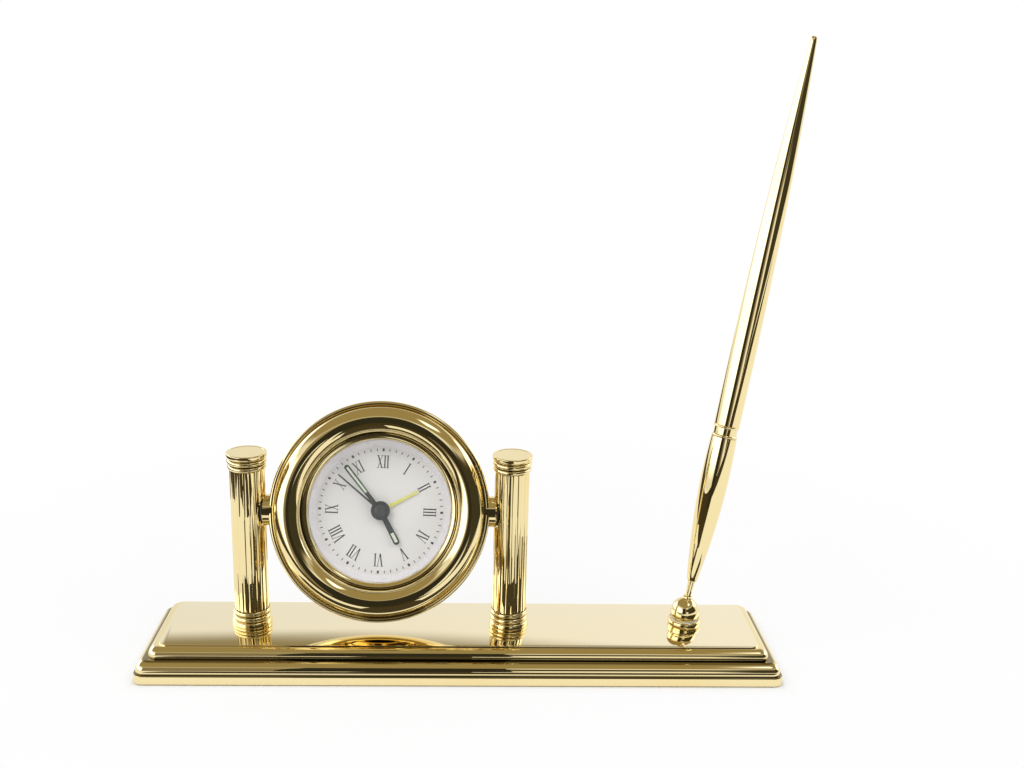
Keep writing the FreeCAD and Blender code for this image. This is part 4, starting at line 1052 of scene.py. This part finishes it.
@dataclass
class Dial:
    """White ring, printed track, Roman numerals, hands and the hub over a white dial."""

    frame: ClockFrame
    level: float = -1.1
    ink: float = 0.02
    numeral_radius: float = 15.4
    numeral_height: float = 4.0
    numeral_width: float = 0.85
    thick: float = 0.46
    thin: float = 0.2
    serif: float = 0.16
    serif_reach: float = 0.28
    track_radius: float = 19.15
    minute_bar: Point = (0.8, 0.26)
    hour_bar: Point = (0.9, 0.66)
    rim_radius: float = 23.1
    ring_top: float = 22.0
    ring_bottom: float = 20.2
    ring_edge: float = 0.25
    ring_crease: float = 20.0
    crystal_underside: float = 2.6
    turn: float = 1.5
    filling_layer: Point = (0.03, 0.17)
    second_angle: float = 310.0
    needle_length: float = 17.4
    needle_widths: Point = (0.68, 0.4)
    needle_layer: Point = (1.6, 1.8)
    cap_radius: float = 1.9
    dome_radius: float = 1.7
    dome_height: float = 0.4
    numerals: Sequence[str] = ("XII", "I", "II", "III", "IV", "V", "VI", "VII", "VIII", "IX", "X", "XI")
    fillings: Sequence[Filling] = (
        Filling("minute_lume", "minute_train", 321.3, 7.2, 17.2, 0.7, 0.7),
        Filling("hour_lume", "hour_train", 152.0, 7.9, 11.1, 1.0, 0.0))

    def build(self) -> None:
        """Builds and dresses everything that shows through the crystal."""
        self.build_ring()
        self.build_track()
        self.build_numerals()
        self.build_hands()

    def build_ring(self) -> None:
        """White sloped ring."""
        top = self.crystal_underside
        outline = [(self.ring_bottom, self.level), (self.rim_radius, self.level), (self.rim_radius, top),
                   (self.ring_top, top), (self.ring_top - 0.15, top - self.ring_edge),
                   (self.ring_bottom, self.level + self.ring_edge)]
        turn_node("rehaut_ring", "clock", outline, self.frame.place, WHITE_RING, segments=192,
                  sharp=self.ring_crease)

    def build_track(self) -> None:
        """Minute bars and the bolder bars at the hours."""
        dress(self.marks("minute_track", self.minute_bar, 60, 5), PRINT, "clock")
        dress(self.marks("hour_marks", self.hour_bar, 12, 0), PRINT, "clock")

    def marks(self, name: str, bar: Point, count: int, skip_every: int) -> Object:
        """Printed bars round the dial, by a geometry rule.

        Args:
            name: the object's name.
            bar: length outwards and width of a bar.
            count: places round the dial.
            skip_every: leaves out each bar whose number divides by this; 0 leaves out none.

        Returns:
            The new object.
        """
        length, width = bar
        rule = Rule(name + "_tree", {
            "Radius": self.track_radius * MM, "Length": length * MM, "Width": width * MM,
            "Ink": self.ink * MM, "Level": (self.level + self.ink / 2) * MM, "Places": count})
        ring = rule.node("GeometryNodeMeshCircle", {"fill_type": "NONE"}, {
            "Vertices": count, "Radius": self.track_radius * MM}).outputs[0]
        number = rule.index()
        angle = number * (2 * math.pi) / rule.size("Places")
        spot = rule.join(angle.cosine() * rule.size("Radius"), angle.sine() * rule.size("Radius"),
                         rule.size("Level"))
        points = rule.node("GeometryNodeSetPosition", {}, {"Geometry": ring, "Position": spot}).outputs[0]
        block = rule.node("GeometryNodeMeshCube", {}, {
            "Size": rule.join(rule.size("Length"), rule.size("Width"), rule.size("Ink"))}).outputs[0]
        chosen = {"Points": points, "Instance": block, "Rotation": rule.join(0.0, 0.0, angle)}
        if skip_every:
            chosen["Selection"] = rule.node("FunctionNodeCompare", {"operation": "GREATER_THAN"}, {
                0: number % float(skip_every), 1: 0.5}).outputs[0]
        bars = rule.node("GeometryNodeInstanceOnPoints", {}, chosen).outputs[0]
        return rule.run(bars, PRINT, name, self.frame.turned_to(self.turn))

    def strokes(self, numeral: Numeral) -> tuple[list[Stroke], float]:
        """Bars of one letter about its own left edge, and its width."""
        if numeral is Numeral.I:
            return [Stroke(0.55, 0.55, self.thick)], 1.1
        if numeral is Numeral.V:
            return [Stroke(1.2, 0.45, self.thick), Stroke(1.3, 2.05, self.thin)], 2.45
        return [Stroke(2.0, 0.5, self.thick), Stroke(0.5, 2.0, self.thin)], 2.5

    def outlines(self, text: str) -> list[list[Point]]:
        """Plan outlines of one numeral, centred, with its foot at height 0."""
        made = []
        cursor = 0.0
        for letter in text:
            bars, width = self.strokes(Numeral(letter))
            for bar in bars:
                made += self.bar(bar, cursor, Numeral(letter))
            cursor += width
        return [[((x - cursor / 2) * self.numeral_width, y) for x, y in outline] for outline in made]

    def bar(self, stroke: Stroke, left: float, numeral: Numeral) -> list[list[Point]]:
        """Outlines of a bar and its serifs; the letter V has none at its foot."""
        tall = self.numeral_height
        half = stroke.width / 2
        reach = half + self.serif_reach
        foot, head = left + stroke.foot, left + stroke.head
        shapes = [[(foot - half, 0.0), (foot + half, 0.0), (head + half, tall), (head - half, tall)]]
        serifs = [(head, tall - self.serif)]
        if numeral is not Numeral.V:
            serifs.append((foot, 0.0))
        for x, low in serifs:
            shapes.append([(x - reach, low), (x + reach, low), (x + reach, low + self.serif),
                           (x - reach, low + self.serif)])
        return shapes

    def build_numerals(self) -> None:
        """Roman numerals standing radially round the dial."""
        shapes = []
        low = self.numeral_radius - self.numeral_height / 2
        for hour, text in enumerate(self.numerals):
            a = -math.radians(30.0 * hour)
            for outline in self.outlines(text):
                shapes.append([(x * math.cos(a) - (y + low) * math.sin(a),
                                x * math.sin(a) + (y + low) * math.cos(a)) for x, y in outline])
        numerals = slabs("dial_numerals", shapes, self.level, self.level + self.ink,
                         self.frame.turned_to(self.turn))
        dress(numerals, PRINT, "clock")

    def build_hands(self) -> None:
        """Pale fillings in the two baton hands, the needle hand with its domed cap."""
        for one in self.fillings:
            half = one.width / 2
            outline = [(-half, one.start), (half, one.start), (half, one.end), (-half, one.end)]
            low, high = (one.hand_level + height for height in self.filling_layer)
            dress(slabs(one.name, [outline], low, high, self.frame.turned_to(one.angle)), LUME, one.body)
        place = self.frame.turned_to(self.second_angle)
        low, high = self.needle_layer
        hub, tip = (width / 2 for width in self.needle_widths)
        length = self.needle_length
        needle = slabs("second_needle", [[(-hub, 0.0), (hub, 0.0), (tip, length), (-tip, length)]],
                       low, high, place)
        dress(needle, DARK_HANDS, "second_train", "second_hand")
        outline = [(0.0, low), (self.cap_radius, low), (self.cap_radius, high - 0.05),
                   (self.dome_radius, high)]
        outline += [(self.dome_radius * reach, high + self.dome_height * rise)
                    for reach, rise in arc((0.0, 0.0), 1.0, 10, 90, 8)]
        outline[-1] = (0.0, high + self.dome_height)
        dress(turned("second_cap", outline, place, 64, closed=False), DARK_HANDS, "second_train")


# Pen and holder

@dataclass
class PenSet:
    """Cup, swivel ball and the tapered pen; heights along the pen count from the ball's centre."""

    base_top: float
    x: float = 72.3
    y: float = 1.5
    lean_right: float = 10.19
    lean_back: float = 7.24
    cup_bore: float = 2.95
    cup_foot: float = 5.0
    cup_radius: float = 5.3
    cup_wall: float = 0.6
    cup_height: float = 1.5
    ball_radius: float = 4.6
    ball_wall: float = 0.9
    ball_rise: float = 4.4
    ball_underside: float = -42.0
    neck_radius: float = 1.6
    neck_low: float = 4.6
    neck_high: float = 5.0
    neck_top: float = 5.2
    tip_bore: float = 0.994
    nose_start: float = 2.6
    nose_bore: float = 0.42
    nose_tip: float = 0.55
    nose_swell: float = 0.63
    seam: float = 10.4
    grip_bore: float = 1.3
    grip_end: float = 1.6
    grip_swell: float = 2.85
    grip_peak: float = 0.74
    grip_fullness: float = 0.9
    collar_start: float = 58.5
    collar_length: float = 4.0
    collar_bead: float = 0.45
    collar_ring: float = 4.1
    collar_band: float = 3.75
    barrel_bore: float = 2.7
    bore_end: float = 112.0
    barrel_tip: float = 0.95
    barrel_swell: float = 3.1
    barrel_fullness: float = 2.55
    end: float = 184.5

    def grip_radius(self, s: float) -> float:
        """Radius of the lower barrel at a place along the pen."""
        share = (s - self.seam) / (self.collar_start - self.seam)
        bulge = math.sin(math.radians(90.0 * share / self.grip_peak)) ** self.grip_fullness
        return self.grip_end + self.grip_swell * bulge

    def barrel_radius(self, s: float) -> float:
        """Radius of the upper barrel at a place along the pen."""
        start = self.collar_start + self.collar_length
        share = (s - start) / (self.end - start)
        return self.barrel_tip + self.barrel_swell * (1.0 - share ** self.barrel_fullness)

    @property
    def place(self) -> Matrix:
        """Frame at the ball's centre, Z along the pen."""
        slopes = [math.tan(math.radians(lean)) for lean in (self.lean_right, self.lean_back)]
        turn = Vector((0.0, 0.0, 1.0)).rotation_difference(Vector((*slopes, 1.0))).to_matrix().to_4x4()
        centre = Vector((self.x, self.y, self.base_top + self.ball_rise)) * MM
        return Matrix.Translation(centre) @ turn

    def build(self) -> None:
        """Builds the holder and then the pen."""
        self.build_cup()
        self.build_ball()
        self.build_nose()
        self.build_barrels()
        self.build_collar()

    def build_cup(self) -> None:
        """Low rolled cup."""
        place = Matrix.Translation(Vector((self.x, self.y, self.base_top)) * MM)
        wall = self.cup_wall
        inside = self.cup_radius - wall
        outline = [(self.cup_bore, 0.0), (self.cup_foot, 0.0), (self.cup_radius, wall),
                   (self.cup_radius, self.cup_height)]
        outline += arc((inside, self.cup_height), wall, 0, 90, 8)[1:]
        outline += [(inside, wall), (self.cup_bore, wall)]
        turn_node("holder_cup", "stand", outline, place)

    def build_ball(self) -> None:
        """Hollow ball with the small collar round the pen's hole."""
        radius, neck, bore = self.ball_radius, self.neck_radius, self.tip_bore
        top = math.degrees(math.acos(neck / radius))
        outline = arc((0.0, 0.0), radius, self.ball_underside, top - 3.0, 40)
        outline += [(neck + 0.06, self.neck_low - 0.15), (neck, self.neck_low), (neck, self.neck_high),
                    (neck - 0.2, self.neck_top), (bore, self.neck_top)]
        inner = radius - self.ball_wall
        outline += [(bore, math.sqrt(inner**2 - bore**2))]
        start = math.degrees(math.acos(bore / inner))
        outline += arc((0.0, 0.0), inner, start, self.ball_underside, 24)[1:]
        turn_node("swivel_ball", "ball", outline, self.place, segments=128, sharp=40.0)

    def build_nose(self) -> None:
        """Slim nose cone."""
        start, end = self.nose_start, self.seam
        outline = [(self.nose_bore, start)]
        outline += [(self.nose_tip + self.nose_swell * math.sqrt(share), start + (end - start) * share)
                    for share in spread(0.0, 1.0, 16)]
        outline.append((self.nose_bore, end))
        turn_node("pen_nose_cone", "pen", outline, self.place, segments=48)

    def build_barrels(self) -> None:
        """Swelling grip and the long tapered barrel."""
        start, end = self.seam, self.collar_start
        outline = [(self.grip_bore, start), (self.grip_end - 0.15, start)]
        outline += [(self.grip_radius(s), s) for s in spread(start + 0.2, end, 64)]
        outline.append((self.grip_bore, end))
        turn_node("pen_lower_barrel", "pen", outline, self.place)
        start, end = self.collar_start + self.collar_length, self.end
        outline = [(self.barrel_bore, start)]
        outline += [(self.barrel_radius(s), s) for s in spread(start, end - 0.3, 96)]
        outline += [(self.barrel_tip - 0.1, end - 0.08), (self.barrel_tip - 0.35, end), (0.0, end),
                    (0.0, self.bore_end), (self.barrel_bore, self.bore_end)]
        turn_node("pen_upper_barrel", "pen", outline, self.place)

    def build_collar(self) -> None:
        """Band between two raised rings."""
        bead, middle, band = self.collar_bead, self.collar_ring - self.collar_bead, self.collar_band
        start = self.collar_start
        top = start + self.collar_length
        outline = [(self.barrel_bore, start), (middle, start)]
        outline += arc((middle, start + bead), bead, -90, 70, 8)
        outline += [(band, start + 2 * bead), (band, top - 2 * bead)]
        outline += arc((middle, top - bead), bead, -70, 90, 8)
        outline.append((self.barrel_bore, top))
        turn_node("pen_collar", "pen", outline, self.place)


# Rear of the movement

@dataclass
class RearControls:
    """Housing, door, screws, knobs and switch, shown as smooth copies of the frame's nodes."""

    bodies: dict[str, str] = field(default_factory=lambda: {
        "movement_housing": "clock", "movement_screws": "clock", "battery_door": "door",
        "time_set_knob": "time_setting", "alarm_set_knob": "alarm_setting",
        "alarm_switch": "alarm_slider"})

    def build(self) -> None:
        """Makes and dresses each copy."""
        for node, body in self.bodies.items():
            finish = STEEL if node == "movement_screws" else BLACK_MOULDING
            dress(smooth_copy(node), finish, body, node)


# Studio

@dataclass(frozen=True)
class Card:
    """A dim sheet between two corners, level or upright, that only polished metal sees."""

    name: str
    low: Spot
    high: Spot
    tone: Colour


@dataclass(frozen=True)
class Lamp:
    """A large soft lamp: where it hangs, and its size and power."""

    name: str
    spot: Spot
    power: float
    size: float = 0.9


@dataclass
class Studio:
    """White sweep, plain soft light, and dark cards that only polished metal sees."""

    half_length: float
    half_depth: float
    focal_pixels: float = 1164.18
    image_width: float = 1024.0
    sensor: float = 36.0
    pitch: float = 15.355
    yaw: float = 2.386
    roll: float = 1.421
    camera_place: Spot = (0.013, -341.45, 184.56)
    aim: Spot = (0.0, 0.0, 0.04)
    floor_size: float = 6.0
    floor_white: Colour = (0.9, 0.9, 0.9)
    plain_near: float = 0.85
    plain_gain: float = 0.15
    close_loss: float = 0.3
    contact_loss: float = 0.5
    soft_light: float = 0.55
    wall: Colour = (0.97, 0.97, 0.97)
    dimmer_wall: Colour = (0.88, 0.88, 0.88)
    box: Colour = (1.9, 2.0, 2.3)
    room_low: Colour = (0.24, 0.20, 0.14)
    room_high: Colour = (0.33, 0.27, 0.14)
    room_deep: Colour = (0.05, 0.045, 0.028)
    card_start: float = -0.123
    card_lift: float = 0.0005

    def cards(self) -> tuple[Card, ...]:
        """The sheets on the floor, and the upright one where somebody stands before the set."""
        lift, start = self.card_lift, self.card_start
        brown, near = (0.055, 0.042, 0.02), (0.06, 0.05, 0.03)
        return (Card("brown_card", (-1.6, -2.4, lift), (0.03, start, lift), brown),
                Card("far_card", (0.03, -2.4, lift), (1.6, -0.45, lift), brown),
                Card("side_card", (-1.6, start, lift), (-0.21, 1.0, lift), (0.07, 0.055, 0.03)),
                Card("middle_card", (-0.040, start, lift), (0.004, -0.058, lift), near),
                Card("near_card", (-0.10, -0.058, lift), (0.12, -0.028, lift), near),
                Card("onlooker", (-0.13, -0.36, 0.001), (0.035, -0.36, 0.36), (0.03, 0.028, 0.02)))

    def build(self) -> None:
        """Sets up camera, floor, cards, lamps and world."""
        self.build_camera()
        self.build_floor()
        for card in self.cards():
            self.build_card(card)
        for lamp in (Lamp("key_lamp", (-0.7, -0.5, 1.1), 9.0), Lamp("fill_lamp", (0.9, -0.3, 0.9), 5.0)):
            self.build_lamp(lamp)
        self.build_world()

    def build_camera(self) -> None:
        """Camera at the photograph's viewing angle."""
        pitch, yaw, roll = (math.radians(a) for a in (self.pitch, self.yaw, self.roll))
        level = Vector((math.sin(yaw), math.cos(yaw), 0.0))
        right = Vector((math.cos(yaw), -math.sin(yaw), 0.0))
        ahead = level * math.cos(pitch) - Vector((0, 0, 1)) * math.sin(pitch)
        up = Vector((0, 0, 1)) * math.cos(pitch) + level * math.sin(pitch)
        rolled_right = right * math.cos(roll) + up * math.sin(roll)
        rolled_up = up * math.cos(roll) - right * math.sin(roll)
        turn = Matrix((rolled_right, rolled_up, -ahead)).transposed().to_4x4()
        data = bpy.data.cameras.new("camera")
        data.sensor_width = self.sensor
        data.lens = self.focal_pixels * self.sensor / self.image_width
        data.clip_start = 0.01
        camera = object_from("camera", data)
        camera.matrix_world = Matrix.Translation(Vector(self.camera_place) * MM) @ turn
        bpy.context.scene.camera = camera

    def plane(self, name: str, low: Spot, high: Spot) -> Object:
        """A sheet between two corners, level or upright across the view."""
        corners = [(low[0], low[1], low[2]), (high[0], low[1], low[2]),
                   (high[0], high[1], high[2]), (low[0], high[1], high[2])]
        mesh = bpy.data.meshes.new(name)
        mesh.from_pydata(corners, [], [(0, 1, 2, 3)])
        sheet = object_from(name, mesh)
        return sheet

    def build_floor(self) -> None:
        """White floor: mostly plain white to the camera and to metal, with the shadow close to the set."""
        half = self.floor_size / 2
        floor = self.plane("floor", (-half, -half, 0.0), (half, half, 0.0))
        paint, board = painted("white_sweep")
        camera, glossy, through = board.rays()
        spot = board.node("ShaderNodeTexCoord").outputs["Object"]
        distance = board.node("ShaderNodeVectorMath", {"operation": "LENGTH"}, {0: spot}).outputs["Value"]
        away = Reading(board, distance).step(0.12, 0.3)
        x, y, _ = board.axes(spot)
        outside = (x.at_least(0.0 - x) - self.half_length).at_least(y.at_least(0.0 - y) - self.half_depth)
        under = 1.0 - outside.step(0.0003, 0.0012)
        close = 1.0 - outside.step(0.0, 0.005)
        plain_share = (away * self.plain_gain + self.plain_near
                       - close * self.close_loss - under * self.contact_loss)
        seen = (camera + glossy + through).at_most(1.0)
        lit = board.node("ShaderNodeBsdfDiffuse", {}, {"Color": opaque(self.floor_white)}).outputs[0]
        plain = board.light("ShaderNodeEmission", WHITE)
        board.node("ShaderNodeOutputMaterial", {}, {"Surface": board.blend(seen * plain_share, lit, plain)})
        floor.data.materials.append(paint)

    def build_card(self, card: Card) -> None:
        """One card that glows faintly and shows in reflections alone."""
        sheet = self.plane(card.name, card.low, card.high)
        paint, board = painted(card.name)
        glow = board.light("ShaderNodeEmission", card.tone)
        board.node("ShaderNodeOutputMaterial", {}, {"Surface": glow})
        sheet.data.materials.append(paint)
        for ray in ("camera", "diffuse", "shadow", "transmission"):
            setattr(sheet, "visible_" + ray, False)

    def build_lamp(self, lamp: Lamp) -> None:
        """One lamp aimed at the set and kept out of reflections."""
        data = bpy.data.lights.new(lamp.name, "AREA")
        data.size = lamp.size
        data.energy = lamp.power
        hung = object_from(lamp.name, data)
        hung.location = lamp.spot
        hung.rotation_euler = (Vector(self.aim) - Vector(lamp.spot)).to_track_quat("-Z", "Y").to_euler()
        hung.visible_glossy = False

    def metal_view(self, board: Board) -> NodeSocket:
        """What polished metal sees: a dim brown room in front and above, bright walls and light boxes.

        Args:
            board: the world's board.

        Returns:
            The colour in each direction, where x points right, y back and z up.
        """
        x, y, z = board.axes(board.node("ShaderNodeTexCoord").outputs["Generated"])
        ahead = (0.0 - y).step(-0.05, 0.12)
        left_room = x.between(-0.45, 0.05)
        panel_edge = x.between(0.05, 0.30) * z.between(0.24, 0.58, 0.04)
        right_room = x.step(0.27, 0.33)
        room = ahead * (left_room + panel_edge + right_room).at_most(1.0) * (1.0 - z.step(0.6, 0.75))
        ceiling = z.step(0.52, 0.64) * y.step(-0.08, 0.04) + z.step(0.66, 0.76)
        lamp = x.between(0.28, 0.52, 0.04) * z.step(0.84, 0.88) * ahead
        left_box = (0.0 - x).step(0.5, 0.58) * z.between(0.06, 0.56, 0.05)
        right_box = x.between(0.66, 0.92) * z.between(0.2, 0.62, 0.05) * y.step(-0.1, 0.05)
        boxes = (left_box + right_box + lamp).at_most(1.0)
        bright = board.mix(boxes, board.mix(x.step(-0.35, 0.35), self.dimmer_wall, self.wall), self.box)
        brown = board.mix(z.step(0.3, 0.8), self.room_low, self.room_high)
        deep = x.step(0.02, 0.08) * ahead * (1.0 - z.step(0.55, 0.7))
        dim = board.mix(deep, brown, self.room_deep)
        return board.mix((room + ceiling).at_most(1.0) * (1.0 - boxes), bright, dim)

    def build_world(self) -> None:
        """Plain white to the camera, a soft light on everything dull, and the room for metal alone."""
        world = bpy.data.worlds.new("studio")
        bpy.context.scene.world = world
        world.use_nodes = True
        board = Board(world.node_tree)
        camera, glossy, through = board.rays()
        metal = board.light("ShaderNodeBackground", self.metal_view(board))
        plain = board.light("ShaderNodeBackground", WHITE)
        soft = board.light("ShaderNodeBackground", WHITE, self.soft_light)
        dull = board.blend((camera + through).at_most(1.0), soft, plain)
        board.node("ShaderNodeOutputWorld", {}, {"Surface": board.blend(glossy, dull, metal)})
        bpy.context.scene.view_settings.view_transform = "Standard"


def dress_carried_nodes() -> None:
    """Gives each carried-over frame node its finish."""
    for finish, nodes in CARRIED_FINISHES:
        for node in nodes.split():
            shown = frame["nodes"][node]
            shown.data.materials.clear()
            shown.data.materials.append(finish.make())
            LOG.info("%s: carried over, %s", node, finish.name)


def main() -> None:
    """Builds the set in order."""
    logging.basicConfig(level=logging.INFO, format="%(message)s")
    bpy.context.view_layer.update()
    base = Base()
    Studio(base.length / 2 * MM, base.depth / 2 * MM).build()
    base.build()
    for side in Side:
        Column(side, base.height).build()
    clock = ClockFrame()
    ClockCase(clock).build()
    Dial(clock).build()
    RearControls().build()
    PenSet(base.height).build()
    dress_carried_nodes()


if __name__ == "__main__":
    main()
